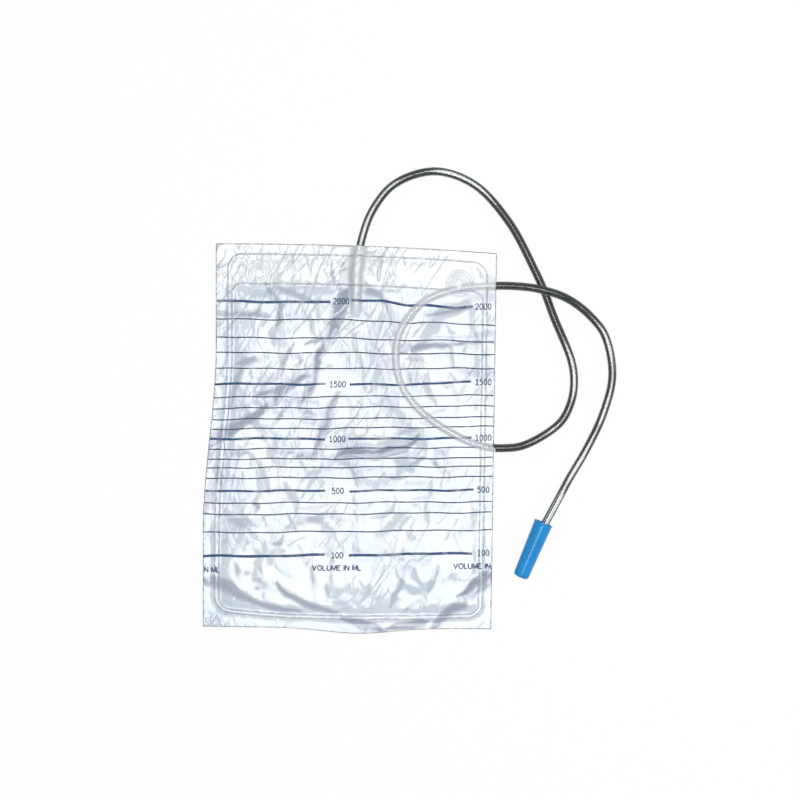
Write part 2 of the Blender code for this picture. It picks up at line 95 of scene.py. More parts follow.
def seen_directly(tree):
    """1 for rays from the eye, also by way of a mirror or through glass."""
    path = tree.nodes.new("ShaderNodeLightPath")
    total = path.outputs["Is Camera Ray"]
    for ray in ("Is Glossy Ray", "Is Transmission Ray"):
        larger = add_node(tree, "ShaderNodeMath", operation="MAXIMUM")
        tree.links.new(total, larger.inputs[0])
        tree.links.new(path.outputs[ray], larger.inputs[1])
        total = larger.outputs[0]
    return total


print("node helpers ready")

# %% The world
WORLD_LIGHT = 0.325
DIM_SKY = (0.96, 0.98, 1.0, 1.0)
WHITE = (1.0, 1.0, 1.0, 1.0)

world = bpy.data.worlds.new("room")
bpy.context.scene.world = world
world.use_nodes = True
sky = world.node_tree
sky.nodes.clear()
dim = add_node(sky, "ShaderNodeBackground", Color=DIM_SKY, Strength=WORLD_LIGHT)
bright = add_node(sky, "ShaderNodeBackground", Color=WHITE, Strength=1.0)
choose = sky.nodes.new("ShaderNodeMixShader")
sky.links.new(seen_directly(sky), choose.inputs[0])
sky.links.new(dim.outputs[0], choose.inputs[1])
sky.links.new(bright.outputs[0], choose.inputs[2])
world_out = sky.nodes.new("ShaderNodeOutputWorld")
sky.links.new(choose.outputs[0], world_out.inputs[0])
print("world light", WORLD_LIGHT)

# %% The floor
FLOOR_SIZE = 8.0
FLOOR_GLOW = 0.92
FLOOR_DROP = 0.0002
PAPER = (0.93, 0.93, 0.93, 1.0)

bpy.ops.mesh.primitive_plane_add(size=FLOOR_SIZE, location=(0.0, 0.0, -FLOOR_DROP))
floor = bpy.context.object
floor.name = "floor"
paper = bpy.data.materials.new("white_paper")
paper.use_nodes = True
tree = paper.node_tree
tree.nodes.clear()
lit = add_node(tree, "ShaderNodeBsdfDiffuse", Color=PAPER)
glow = add_node(tree, "ShaderNodeEmission", Color=WHITE, Strength=1.0)
share = add_node(tree, "ShaderNodeMath", operation="MULTIPLY")
share.inputs[1].default_value = FLOOR_GLOW
blend = tree.nodes.new("ShaderNodeMixShader")
out = tree.nodes.new("ShaderNodeOutputMaterial")
tree.links.new(seen_directly(tree), share.inputs[0])
tree.links.new(share.outputs[0], blend.inputs[0])
tree.links.new(lit.outputs[0], blend.inputs[1])
tree.links.new(glow.outputs[0], blend.inputs[2])
tree.links.new(blend.outputs[0], out.inputs[0])
floor.data.materials.append(paper)
print("floor glow", FLOOR_GLOW)

# %% The lamps
WATTS_PER_BRIGHTNESS = 4.0


def area_lamp(name, place, aim, width, depth, brightness):
    """A rectangular lamp whose own surface has this brightness, 1 being white."""
    data = bpy.data.lights.new(name, "AREA")
    data.shape = "RECTANGLE"
    data.size = width
    data.size_y = depth
    data.energy = brightness * WATTS_PER_BRIGHTNESS * width * depth
    lamp = bpy.data.objects.new(name, data)
    lamp.location = place
    lamp.rotation_euler = (Vector(aim) - Vector(place)).to_track_quat("-Z", "Y").to_euler()
    bpy.context.scene.collection.objects.link(lamp)
    return lamp


BAG_MIDDLE = (0.0, 0.0, 0.0)
# Each lamp: its name, where it hangs, its width and depth, and its brightness.
LAMPS = (
    ("softbox", (0.09, 0.03, 2.2), 1.10, 1.22, 5.5),
    ("side_strip", (1.6, 0.3, 1.1), 0.40, 1.2, 4.0),
    ("low_strip", (-1.2, 1.4, 0.9), 1.0, 0.15, 4.0),
)
for name, place, width, depth, brightness in LAMPS:
    area_lamp(name, place, BAG_MIDDLE, width, depth, brightness)
print("lamps", [lamp.name for lamp in bpy.data.lights])

# %% [markdown]
# ## The outline of the sheets
#
# Two sheets are cut to one outline that is nearly a rectangle. Its sides are
# written as functions of the other coordinate, because every later piece
# needs them: the welds run beside them, the print ends at them.

# %% Outline
BAG_WIDTH = 0.2396
BAG_HEIGHT = 0.3178
FILM = 0.0002
GAP = 0.0003
TOP_LEFT_INSET = 0.0106
LEFT_BEND_REACH = 0.0763
BOTTOM_RIGHT_INSET = 0.0049
TOP_RIGHT_DROP = 0.0081
TOP_DROP_POWER = 2.2
BOTTOM_LEFT_RISE = 0.0057
BOTTOM_RIGHT_RISE = 0.0036
BOTTOM_BOW_MIDDLE = 0.008
BOTTOM_BOW_REACH = 0.038


def smooth(value, low, high):
    """0 below low, 1 above high, with an easy curve between them."""
    t = np.clip((value - low) / (high - low), 0.0, 1.0)
    return t * t * (3.0 - 2.0 * t)


def mix(a, b, t):
    """A share t of the way from a to b."""
    return a + (b - a) * t


def left_edge(y):
    """x of the left side, which leans in towards the top."""
    return -BAG_WIDTH / 2 + TOP_LEFT_INSET * smooth(y, -LEFT_BEND_REACH, LEFT_BEND_REACH)


def right_edge(y):
    """x of the right side, which leans out towards the top."""
    return BAG_WIDTH / 2 - BOTTOM_RIGHT_INSET * (0.5 - y / BAG_HEIGHT)


def top_edge(x):
    """y of the top side, which drops to the right."""
    share = np.clip((x + BAG_WIDTH / 2 - TOP_LEFT_INSET) / (BAG_WIDTH - TOP_LEFT_INSET), 0.0, 1.0)
    return BAG_HEIGHT / 2 - TOP_RIGHT_DROP * share ** TOP_DROP_POWER


def bottom_edge(x):
    """y of the bottom side, which sags in the middle."""
    rise = mix(BOTTOM_LEFT_RISE, BOTTOM_RIGHT_RISE, x / BAG_WIDTH + 0.5)
    bow = np.exp(-((x - BOTTOM_BOW_MIDDLE) / BOTTOM_BOW_REACH) ** 2)
    return -BAG_HEIGHT / 2 + rise * (1.0 - bow)


print("bag", BAG_WIDTH, "by", BAG_HEIGHT, "m")

# %% [markdown]
# ## The tube's route
#
# The tube is one fixed length of soft pipe. It leaves the bag at the top,
# lies in a loop on the table, crosses the bag, climbs over itself in a long
# low hump and comes down to its connector. A smooth curve through listed
# points lies the way such a pipe does. The same points place the solid in the
# frame.

# %% Heights along the tube
TUBE_R = 0.0034
FLOOR_GAP = 0.0001
TUBE_REST = 0.0006
CROSSING_GAP = 0.0005
TUBE_INSIDE = FILM + GAP + TUBE_R
TUBE_ON_FLOOR = FLOOR_GAP + TUBE_R
TUBE_ON_BAG = 2.0 * FILM + GAP + TUBE_REST + TUBE_R
TUBE_ON_TUBE = TUBE_ON_FLOOR + 2.0 * TUBE_R + CROSSING_GAP


def climb(share):
    """Height of the centre line, share of the way up to the pass over itself."""
    return TUBE_ON_FLOOR + share * (TUBE_ON_TUBE - TUBE_ON_FLOOR)


print("crossing at", round(TUBE_ON_TUBE, 4))

# %% Points on the tube's route
ROUTE = (
    (0.0049, 0.1161, TUBE_INSIDE),
    (0.0057, 0.1390, TUBE_INSIDE),
    (0.0086, 0.1577, TUBE_INSIDE),
    (0.0179, 0.1846, TUBE_ON_FLOOR),
    (0.0368, 0.2073, TUBE_ON_FLOOR),
    (0.0693, 0.2173, TUBE_ON_FLOOR),
    (0.1012, 0.2065, TUBE_ON_FLOOR),
    (0.1294, 0.1759, TUBE_ON_FLOOR),
    (0.1502, 0.1371, TUBE_ON_FLOOR),
    (0.1577, 0.1206, TUBE_ON_FLOOR),
    (0.1655, 0.0996, TUBE_ON_FLOOR),
    (0.1804, 0.0620, TUBE_ON_FLOOR),
    (0.1822, 0.0437, TUBE_ON_FLOOR),
    (0.1791, 0.0277, TUBE_ON_FLOOR),
    (0.1704, 0.0124, TUBE_ON_FLOOR),
    (0.1423, -0.0051, climb(0.05)),
    (0.1255, -0.0077, climb(0.13)),
    (0.1083, -0.0063, TUBE_ON_BAG),
    (0.0874, 0.0020, TUBE_ON_BAG),
    (0.0584, 0.0216, TUBE_ON_BAG),
    (0.0417, 0.0440, TUBE_ON_BAG),
    (0.0374, 0.0680, TUBE_ON_BAG),
    (0.0415, 0.0889, TUBE_ON_BAG),
    (0.0611, 0.1117, climb(0.36)),
    (0.0910, 0.1222, climb(0.70)),
    (0.1206, 0.1239, climb(0.88)),
    (0.1345, 0.1235, climb(0.94)),
    (0.1467, 0.1223, climb(0.98)),
    (0.1585, 0.1198, climb(1.00)),
    (0.1714, 0.1158, climb(0.86)),
    (0.1840, 0.1089, climb(0.56)),
    (0.1970, 0.0978, climb(0.24)),
    (0.2073, 0.0839, climb(0.04)),
    (0.2134, 0.0517, TUBE_ON_FLOOR),
    (0.2059, 0.0202, TUBE_ON_FLOOR),
    (0.1924, -0.0085, climb(0.04)),
    (0.1777, -0.0334, climb(0.20)),
)
print(len(ROUTE), "points on the route")

# %% [markdown]
# The far end of the tube is settled by the cap: the cap lies on its lip and
# its tip, the connector leans in its bore, and the tube meets the connector's
# hub. The same few sizes give all three.

# %% Cap and connector
CLEARANCE = 0.0003
STEM_LENGTH = 0.0330
HUB_R = 0.0050
HUB_THICKNESS = 0.0018
CONE_TIP_R = 0.0026
CONE_LENGTH = 0.0320
CAP_LENGTH = 0.0483
CAP_WALL = 0.0010
CAP_FLOOR = 0.0014
CAP_LIP = 0.00025
CAP_LIP_LENGTH = 0.0022
CAP_TIP_ROUND = 0.0016
HUB_PLAY = 0.00145
TIP_PLAY = 0.0030
HUB_DEPTH = 0.0060
CAP_MOUTH = (0.1572, -0.0679)
CAP_HEADING = math.radians(22.9)
SEAT_ANGLE = math.radians(26.0)


def bore_radius(depth):
    """Radius of the cap's bore, at a depth from its mouth."""
    at_hub = HUB_R + HUB_PLAY
    at_tip = CONE_TIP_R + TIP_PLAY
    return at_hub + (at_tip - at_hub) * (depth - HUB_DEPTH) / CONE_LENGTH


def cap_frame():
    """Mouth centre and direction of the cap, lying on its lip and its tip."""
    lip = (CAP_LIP_LENGTH / 2, bore_radius(0.0) + CAP_WALL + CAP_LIP)
    tip = (CAP_LENGTH - CAP_TIP_ROUND, bore_radius(CAP_LENGTH - CAP_TIP_ROUND) + CAP_WALL)
    tilt = math.atan2(lip[1] - tip[1], tip[0] - lip[0])
    height = FLOOR_GAP + lip[0] * math.sin(tilt) + lip[1] * math.cos(tilt)
    mouth = Vector((CAP_MOUTH[0], CAP_MOUTH[1], height))
    flat = Vector((-math.sin(CAP_HEADING), -math.cos(CAP_HEADING), 0.0))
    return mouth, flat * math.cos(tilt) - Vector((0.0, 0.0, math.sin(tilt)))


def connector_frame():
    """Hub centre and direction of the connector, which leans in the loose cap."""
    mouth, along = cap_frame()
    side = Vector((-along.y, along.x, 0.0)).normalized()
    down = along.cross(side).normalized()
    if down.z > 0.0:
        down.negate()
    seat = side * math.cos(SEAT_ANGLE) + down * math.sin(SEAT_ANGLE)
    room = CLEARANCE + HUB_THICKNESS * TIP_PLAY / CONE_LENGTH
    hub = mouth + along * HUB_DEPTH + seat * (HUB_PLAY - room)
    tip = mouth + along * (HUB_DEPTH + CONE_LENGTH) - seat * (TIP_PLAY - room)
    return hub, (tip - hub).normalized()


print("cap mouth", [round(c, 4) for c in cap_frame()[0]])

# %% The tube's centre line
CURVE_STEPS = 40
TUBE_RINGS = 420


def smooth_route(points, count):
    """count points, evenly spaced, on the smooth curve through the given ones."""
    first = points[0] * 2.0 - points[1]
    last = points[-1] * 2.0 - points[-2]
    chain = [first] + points + [last]
    fine = []
    for a, b, c, d in zip(chain, chain[1:], chain[2:], chain[3:]):
        knots = [0.0]
        for p, q in ((a, b), (b, c), (c, d)):
            knots.append(knots[-1] + math.sqrt((q - p).length))
        k0, k1, k2, k3 = knots
        for step in range(CURVE_STEPS):
            t = mix(k1, k2, step / CURVE_STEPS)
            ab = a.lerp(b, (t - k0) / (k1 - k0))
            bc = b.lerp(c, (t - k1) / (k2 - k1))
            cd = c.lerp(d, (t - k2) / (k3 - k2))
            abc = ab.lerp(bc, (t - k0) / (k2 - k0))
            bcd = bc.lerp(cd, (t - k1) / (k3 - k1))
            fine.append(abc.lerp(bcd, (t - k1) / (k2 - k1)))
    fine.append(points[-1])
    run = np.cumsum([0.0] + [(q - p).length for p, q in zip(fine, fine[1:])])
    wanted = np.linspace(0.0, run[-1], count)
    columns = [np.interp(wanted, run, [p[axis] for p in fine]) for axis in range(3)]
    return [Vector(point) for point in zip(*columns)], run[-1]


hub, lean = connector_frame()
route_points = [Vector(p) for p in ROUTE]
route_points += [hub - lean * STEM_LENGTH, hub - lean * CLEARANCE]
tube_line, tube_length = smooth_route(route_points, TUBE_RINGS)
print("tube", round(tube_length, 4), "m long")

# %% [markdown]
# ## How the front sheet lies
#
# The front sheet is a height over the table at every point. Most of it is the
# crumple of soft film: flat facets that meet in sharp creases. Smooth noise
# looks like cloth, so the facets come from a grid of random heights joined by
# flat triangles, at three sizes and angles, with the grid bent a little so
# that no two facets are alike.

# %% Facets
# Each size of facet: its width, how many times longer it is, its turn in
# degrees, and its height.
CRUMPLES = (
    (0.0340, 1.9, 24.0, 0.0016),
    (0.0150, 1.7, -31.0, 0.0014),
    (0.0075, 1.5, 12.0, 0.00075),
)
CRUMPLE_SEED = 11
CRUMPLE_KNOTS = 96
CRUMPLE_BEND = 0.30
# The waves that bend the grid: share of the bend, per u, per v, and start.
BEND_ACROSS = ((1.0, 0.0, 2.3, 0.7), (0.5, 1.9, 5.1, 0.0))
BEND_ALONG = ((1.0, 1.9, 0.0, 1.1), (0.4, 4.3, 0.0, 2.2))


def grid_bend(waves, u, v):
    """How far the grid of facets is pushed aside at a place."""
    parts = [share * np.sin(per_u * u + per_v * v + start) for share, per_u, per_v, start in waves]
    return CRUMPLE_BEND * sum(parts)


def crumple_layer(x, y, cell, stretch, turn, height, seed):
    """Flat random facets: cell wide, stretched and turned, up to height high."""
    size = CRUMPLE_KNOTS
    knots = np.random.default_rng(seed).random((size, size))
    angle = math.radians(turn)
    u = (x * math.cos(angle) + y * math.sin(angle)) / cell
    v = (y * math.cos(angle) - x * math.sin(angle)) / (cell * stretch)
    u, v = u + grid_bend(BEND_ACROSS, u, v), v + grid_bend(BEND_ALONG, u, v)
    i = np.floor(u).astype(int)
    j = np.floor(v).astype(int)
    fu = u - i
    fv = v - j
    h00 = knots[i % size, j % size]
    h10 = knots[(i + 1) % size, j % size]
    h01 = knots[i % size, (j + 1) % size]
    h11 = knots[(i + 1) % size, (j + 1) % size]
    low = h00 + fu * (h10 - h00) + fv * (h01 - h00)
    high = h11 + (1.0 - fu) * (h01 - h11) + (1.0 - fv) * (h10 - h11)
    return height * np.where(fu + fv < 1.0, low, high)


def crumple(x, y):
    """All sizes of facets together."""
    total = np.zeros_like(x)
    for number, (cell, stretch, turn, height) in enumerate(CRUMPLES):
        total += crumple_layer(x, y, cell, stretch, turn, height, CRUMPLE_SEED + number)
    return total


print(len(CRUMPLES), "sizes of facets")

# %% [markdown]
# Over the crumple lie the folds that catch the eye. Each is a line that the
# sheet climbs steeply from one side and leaves gently on the other. The steep
# flank turns away from the lamp, and its grey band with one sharp side is
# painted shade, so its width is written as the band's width, point by point:
# most folds are leaves that run out to nothing. Along the top of a deep one a
# painted highlight gives the bright crests.

# %% Folds
# Each fold: its points as (x, y, width) in millimetres, how deep it is from 0
# to 1, and the side that is high, 1 for the left of the line as it runs and
# -1 for the right.
MILLIMETRE = 0.001
FOLDS = (
    # The long fold from the tube's inlet, and those beside it.
    (((4, 124, 5), (-5, 116, 12), (-10, 106, 14), (-13, 93, 13), (-17, 83, 12), (-22, 74, 9),
      (-27, 66, 5)), 0.80, 1),
    (((-26, 72, 5), (-28, 64, 9), (-28, 55, 6), (-29, 46, 6), (-34, 38, 6), (-40, 30, 2)), 0.8, 1),
    (((-38, 76, 1), (-31, 79, 4), (-21, 83, 5)), 0.55, -1),
    (((-15, 142, 2), (-15, 133, 4), (-13, 127, 3)), 0.7, 1),
    (((-6, 143, 5), (-4, 135, 8), (-5, 128, 7), (-9, 121, 5)), 0.55, -1),
    (((12, 128, 3), (16, 121, 7), (25, 117, 6), (31, 109, 5), (34, 102, 7), (37, 93, 6),
      (36, 86, 2)), 0.6, -1),
    (((12, 151, 4), (19, 148, 7), (27, 151, 5)), 0.5, 1),
    (((11, 144, 4), (14, 136, 5), (19, 134, 3)), 0.4, 1),
    (((30, 156, 1.5), (26, 148, 3), (24, 138, 3), (23, 128, 1.5)), 0.6, -1),
    (((39, 143, 1), (35, 135, 1.5), (31, 127, 1)), 0.35, 1),
    (((5, 101, 5), (5, 92, 7), (4, 86, 4)), 0.3, -1),
    (((3, 84, 4), (4, 76, 3), (7, 66, 3), (10, 56, 3), (11, 47, 3)), 0.45, 1),
    (((18, 80, 2), (24, 72, 4), (30, 66, 5), (32, 57, 4), (32, 47, 4)), 0.4, 1),
    # The hanging band and the upper left.
    (((-92, 158, 3), (-92, 154, 2)), 0.4, 1),
    (((-22, 158, 1), (-12, 157, 2.5), (2, 157, 1)), 0.6, -1),
    (((-89, 146, 4), (-88, 139, 9), (-88, 133, 6)), 0.4, 1),
    (((-110, 139, 5), (-105, 141, 4), (-99, 143, 2)), 0.4, -1),
    (((-109, 133, 3), (-104, 136, 4)), 0.35, -1),
    (((-47, 149, 1), (-46, 140, 2), (-46, 131, 1.5)), 0.45, 1),
    (((-69, 127, 2), (-65, 119, 4), (-60, 114, 5), (-57, 108, 5), (-58, 102, 4), (-57, 96, 5),
      (-60, 91, 2)), 0.65, 1),
    (((-60, 124, 3), (-54, 121, 6), (-46, 119, 7), (-37, 116, 6), (-29, 112, 2)), 0.45, -1),
    (((-101, 126, 3), (-99, 116, 5), (-98, 106, 6)), 0.35, 1),
    (((-111, 103, 4), (-98, 102, 5), (-88, 101.5, 4), (-75, 103, 7), (-65, 99.5, 2)), 0.65, -1),
    (((-110, 92, 5), (-105, 95, 4), (-101, 98, 1)), 0.5, -1),
    (((-58, 90, 5), (-55, 82, 6), (-54, 75, 3)), 0.35, -1),
    (((-33, 103, 3), (-32, 92, 4), (-31, 86, 2)), 0.3, 1),
    (((-95, 60, 1), (-86, 63, 7), (-78, 65, 8), (-72, 64, 2)), 0.55, -1),
    (((-47, 76, 2), (-51, 68, 4), (-55, 60, 4), (-56, 52, 3)), 0.55, 1),
    (((-38, 64, 2), (-44, 60, 4), (-47, 56, 2)), 0.35, 1),
    (((-88, 57, 3), (-92, 49, 6), (-95, 41, 7), (-97, 31, 6), (-98, 24, 2)), 0.45, 1),
    (((-105, 57, 4), (-104, 50, 3)), 0.3, 1),
    (((-78, 36, 3), (-66, 38, 8), (-55, 41, 9), (-47, 45, 8), (-41, 50, 7), (-34, 52, 4),
      (-31, 50, 1)), 0.7, -1),
    (((-66, 45, 3), (-61, 50, 5), (-56, 49, 2)), 0.4, 1),
    # The long diagonal on the left and what runs beside it.
    (((-51, 39, 6), (-61, 32, 9), (-70, 25, 8), (-80, 18, 9), (-90, 12, 10), (-101, 6, 12),
      (-115, 0, 13)), 0.75, 1),
    (((-48, 30, 2), (-55, 22, 4), (-60, 14, 5), (-66, 7, 4), (-72, 1, 2)), 0.5, 1),
    (((-64, 24, 2), (-70, 18, 3), (-78, 12, 2)), 0.3, 1),
    (((-10, 38, 4), (-15, 28, 8), (-18, 19, 9), (-21, 9, 9), (-25, 0, 8), (-27, -9, 8),
      (-28, -17, 3)), 0.60, 1),
    (((-43, 26, 2), (-40, 22, 4), (-33, 22, 4), (-28, 19, 2)), 0.45, 1),
    (((-40, 14, 2), (-32, 12, 3), (-26, 14, 1)), 0.3, 1),
    (((-66, -8, 2), (-57, -11, 6), (-47, -10, 5)), 0.5, -1),
    (((-46, -15, 3), (-38, -12, 8), (-29, -14, 9), (-21, -14, 5)), 0.6, -1),
    (((-99, -12, 2), (-90, -13, 6), (-82, -10, 3)), 0.35, 1),
    # The broad fold across the middle.
    (((-12, -16, 3), (-3, -10, 10), (8, -10, 13), (20, -11, 13), (33, -8, 12), (43, -7, 9),
      (51, -3, 6), (57, 4, 2)), 1.0, -1),
    (((2, 3, 2), (6, 1, 4), (10, 2, 2)), 0.4, 1),
    (((36, 3, 2), (46, 7, 6), (56, 8, 5), (62, 6, 2)), 0.4, -1),
    (((-2, 34, 5), (1, 26, 4), (0, 16, 3)), 0.3, -1),
    (((19, 26, 1.5), (21, 17, 2), (23, 11, 1)), 0.35, 1),
    (((35, 39, 3), (39, 36, 6), (37, 29, 5), (34, 24, 2)), 0.4, -1),
    (((42, 62, 2), (45, 55, 5), (49, 46, 5), (51, 41, 2)), 0.4, 1),
    (((54, 58, 2), (54, 50, 3), (52, 44, 2)), 0.35, 1),
    (((62, 18, 3), (68, 21, 4), (78, 23, 2)), 0.4, 1),
    (((58, 14, 4), (64, 12, 5), (72, 13, 2)), 0.35, -1),
    (((84, 40, 4), (87, 31, 5), (87, 20, 3)), 0.25, 1),
    # The right side.
    (((90, 111, 2), (98, 114, 7), (107, 115, 9), (118, 114, 9)), 0.55, 1),
    (((61, 101, 2), (75, 103, 4), (88, 105, 5), (99, 107, 2)), 0.6, -1),
    (((42, 74, 8), (55, 75, 7), (70, 76.5, 6), (85, 77.5, 4), (100, 78.5, 3), (117, 79, 2)), 0.75, -1),
    (((66, 82, 1.5), (85, 83, 2), (100, 83.5, 3.5), (112, 84.5, 7), (119, 84, 9)), 0.55, 1),
    (((44, 66, 2), (54, 64, 3), (64, 61, 2)), 0.4, -1),
    (((82, 59, 2), (92, 55, 7), (101, 53, 9), (111, 51, 9), (119, 50, 8)), 0.5, 1),
    (((104, 139, 2), (108, 132, 5), (117, 131, 8)), 0.5, -1),
    (((68, -8, 3), (70, -14, 5), (70, -21, 5)), 0.45, 1),
    (((74, -15, 2), (79, -9, 4), (84, -6, 2)), 0.3, 1),
    (((50, -21, 3), (55, -18, 4), (63, -15, 2)), 0.35, 1),
    (((72, -26, 4), (80, -27, 5), (88, -24, 3)), 0.25, 1),
    (((46, -36, 2), (54, -37, 4), (63, -36, 2)), 0.35, 1),
    (((34, -33, 2), (41, -33, 4), (48, -31, 2)), 0.3, 1),
    (((113, -38, 3), (116, -29, 3)), 0.45, -1),
    (((51, -49, 2), (62, -47, 4), (68, -44, 2)), 0.35, -1),
    (((17, -64, 2), (27, -62.5, 5), (34, -58, 4), (37, -51, 2), (36, -46, 1)), 0.65, -1),
    (((41, -71, 1.5), (38, -82, 2.5), (35, -94, 2.5), (33, -104, 2)), 0.4, 1),
    (((84, -75, 1.5), (87, -83, 2.5), (90, -92, 1.5)), 0.4, 1),
    # The lower left.
    (((-109, -23, 3), (-107, -31, 8), (-105, -38, 4)), 0.4, 1),
    (((-114, -33, 3), (-114, -39, 5)), 0.5, -1),
    (((-114, -46, 7), (-116, -53, 6), (-118, -61, 3)), 0.8, -1),
    (((-79, -53, 2), (-75, -55, 5), (-78, -61, 3)), 0.5, 1),
    (((-98, -66, 4), (-88, -70, 10), (-76, -69, 9), (-69, -65, 4)), 0.35, 1),
    (((-101, -83, 4), (-94, -87, 6), (-84, -86, 3)), 0.55, -1),
    (((-64, -87, 3), (-57, -85, 5), (-54, -79, 2)), 0.4, 1),
    (((-45, -70, 6), (-34, -67, 10), (-23, -65, 9), (-13, -60, 4)), 0.30, 1),
    (((-42, -57, 3), (-30, -57, 5), (-18, -54, 3)), 0.4, -1),
    (((-121, -116, 7), (-110, -117.5, 11), (-100, -120.5, 13), (-90, -128, 8), (-80, -132.5, 4.5),
      (-70, -136, 5), (-60, -138.5, 5.5), (-50, -140, 4.5), (-40, -141, 2.5)), 0.65, 1),
    (((-93, -101, 3), (-91, -108, 7), (-90, -115, 4)), 0.4, 1),
    (((-60, -118, 3), (-57, -122, 5), (-50, -127, 7), (-40, -132.5, 7), (-30, -137, 6),
      (-20, -140, 4.5), (-10, -142, 2.5)), 0.65, 1),
    (((-76, -104, 3), (-72, -112, 5), (-76, -122, 4)), 0.4, -1),
    (((-31, -104, 3), (-30, -117, 6), (-29, -130, 4)), 0.25, 1),
    (((-15, -108, 4), (-18, -119, 7), (-19, -132, 4)), 0.3, 1),
    # The lower right and the bottom margin.
    (((21, -98, 3), (19, -112, 5), (16, -126, 4)), 0.25, -1),
    (((46, -104, 4), (42, -116, 7), (37, -128, 6), (33, -138, 2)), 0.4, -1),
    (((72, -104, 4), (68, -116, 6), (62, -128, 3)), 0.3, -1),
    (((44, -141, 2), (51, -136, 4), (58, -131, 2)), 0.4, 1),
    (((-7, -147, 3), (3, -149.5, 6), (11, -152, 9), (19, -154, 8), (27, -157, 3)), 0.85, 1),
    (((29, -155.5, 3), (39, -153.5, 7), (50, -153, 9), (60, -150.5, 8), (64, -148.5, 3)), 0.85, 1),
    (((66, -158, 5), (72, -151, 7.5), (76, -144.5, 8), (84, -138.5, 9), (94, -136.5, 4.5)), 0.8, 1),
    (((87, -129, 2), (95, -124.5, 5), (102, -118, 9), (110, -114, 13), (118, -110, 14)), 0.9, 1),
    (((104, -126, 3), (110, -121, 6), (116, -119, 3)), 0.5, 1),
    (((-117, -147, 3), (-106, -146, 5), (-96, -141, 2)), 0.35, -1),
)
print(len(FOLDS), "folds")

# %% [markdown]
# A fold's height at a place follows from how far the place is from the fold's
# line. The same distance says whether the place is on the steep flank or on
# the crest, so the finish can paint shade on the one and a highlight on the
# other. The lines are nudged by a little of the crumple first, or they would
# look drawn with a ruler.

# %% The height of the folds
FLANK_RATIO = 2.2
FOLD_SLOPE = 0.19
FOLD_MOST = 0.0040
FOLD_STRAY = 0.0007
# The crest values place a fold's painted highlight, the flank values shape the band of its painted shade.
CREST_REACH = 0.0020
CREST_SHARE = 0.35
CREST_PAST = 0.8
FLANK_SOFT = 0.0011
FLANK_EDGE = 0.22
FLANK_START = (-1.3, -0.1)
FOLD_END = 1.2
# The crumple that nudges the lines: width and stretch of its facets, then the
# turn and the seed of the nudge along x and along y.
STRAY_FACETS = (0.0090, 1.5)
STRAY_X = (40.0, 3)
STRAY_Y = (-20.0, 4)


def along_line(x, y, points):
    """Signed offset from a line of (x, y, width) points, distance past its ends, half width."""
    nearest = np.full_like(x, 1.0)
    signed = np.zeros_like(x)
    past = np.zeros_like(x)
    half = np.full_like(x, 1.0)
    for number, (a, b) in enumerate(zip(points, points[1:])):
        run = np.subtract(b[:2], a[:2])
        length = math.hypot(*run)
        unit = run / length
        t = (x - a[0]) * unit[0] + (y - a[1]) * unit[1]
        side = unit[0] * (y - a[1]) - unit[1] * (x - a[0])
        held = np.clip(t, 0.0, length)
        far = np.hypot(x - a[0] - held * unit[0], y - a[1] - held * unit[1])
        closer = far < nearest
        over = np.abs(t - held)
        if number > 0:
            over = np.where(t < 0.0, 0.0, over)
        if number < len(points) - 2:
            over = np.where(t > length, 0.0, over)
        nearest = np.where(closer, far, nearest)
        signed = np.where(closer, np.where(over > 0.0, side, np.sign(side) * far), signed)
        past = np.where(closer, over, past)
        half = np.where(closer, mix(a[2], b[2], smooth(held, 0.0, length)) / 2.0, half)
    return signed, past, half


def nudge(x, y, turn, seed):
    """A small push to either side, different from place to place."""
    return 2.0 * crumple_layer(x, y, *STRAY_FACETS, turn, FOLD_STRAY, seed) - FOLD_STRAY


def fold_height(x, y):
    """The folds together, how far each place is on a flank, and on a crest, 0 to 1."""
    total = np.zeros_like(x)
    flank = np.zeros_like(x)
    crest = np.zeros_like(x)
    stray_x = x + nudge(x, y, *STRAY_X)
    stray_y = y + nudge(x, y, *STRAY_Y)
    for points, depth, side in FOLDS:
        line = np.array(points, float) * MILLIMETRE
        offset, past, half = along_line(stray_x, stray_y, line)
        offset = offset * side
        share = offset / half
        ends = 1.0 - smooth(past, 0.0, FOLD_END * half)
        rise = smooth(share, -1.0, 1.0) * (1.0 - smooth(share, 1.0, 1.0 + 2.0 * FLANK_RATIO))
        total += FOLD_SLOPE * depth * 2.0 * half * ends * rise
        soft = np.maximum(FLANK_EDGE * half, FLANK_SOFT)
        band = smooth(offset, FLANK_START[0] * half, FLANK_START[1] * half)
        band = band * (1.0 - smooth(offset, half - soft, half + soft))
        flank = np.maximum(flank, depth * band * ends)
        near_crest = np.exp(-((offset - half - FLANK_SOFT - CREST_PAST * CREST_REACH) / CREST_REACH) ** 2)
        crest = np.maximum(crest, CREST_SHARE * depth * near_crest * ends)
    return FOLD_MOST * (1.0 - np.exp(-total / FOLD_MOST)), flank, crest


print("folds are up to", FOLD_MOST, "m high")

# %% [markdown]
# The welds hold the sheet down. Two seams run round the pouch: the outer one
# turns across the top of the hanging band, the inner one below it, both with
# round corners. A distance from each rounded path tells the sheet where to be
# flat and its material where the seam shows.

# %% Welds
LEFT_SEAMS = (0.0099, 0.0135)
RIGHT_SEAMS = (0.0075, 0.0108)
BOTTOM_SEAMS = (0.0118, 0.0146)
TOP_SEAMS = (0.0085, 0.0325)
CORNER_RADII = (0.0120, 0.0080)
# The bottom seams run straighter than the cut edge: (x, y) of the outer one.
FOOT_SEAM = ((-0.120, -0.1395), (-0.100, -0.1412), (-0.070, -0.1443), (-0.050, -0.1457), (0.0, -0.1470),
             (0.050, -0.1468), (0.090, -0.1457), (0.120, -0.1452))


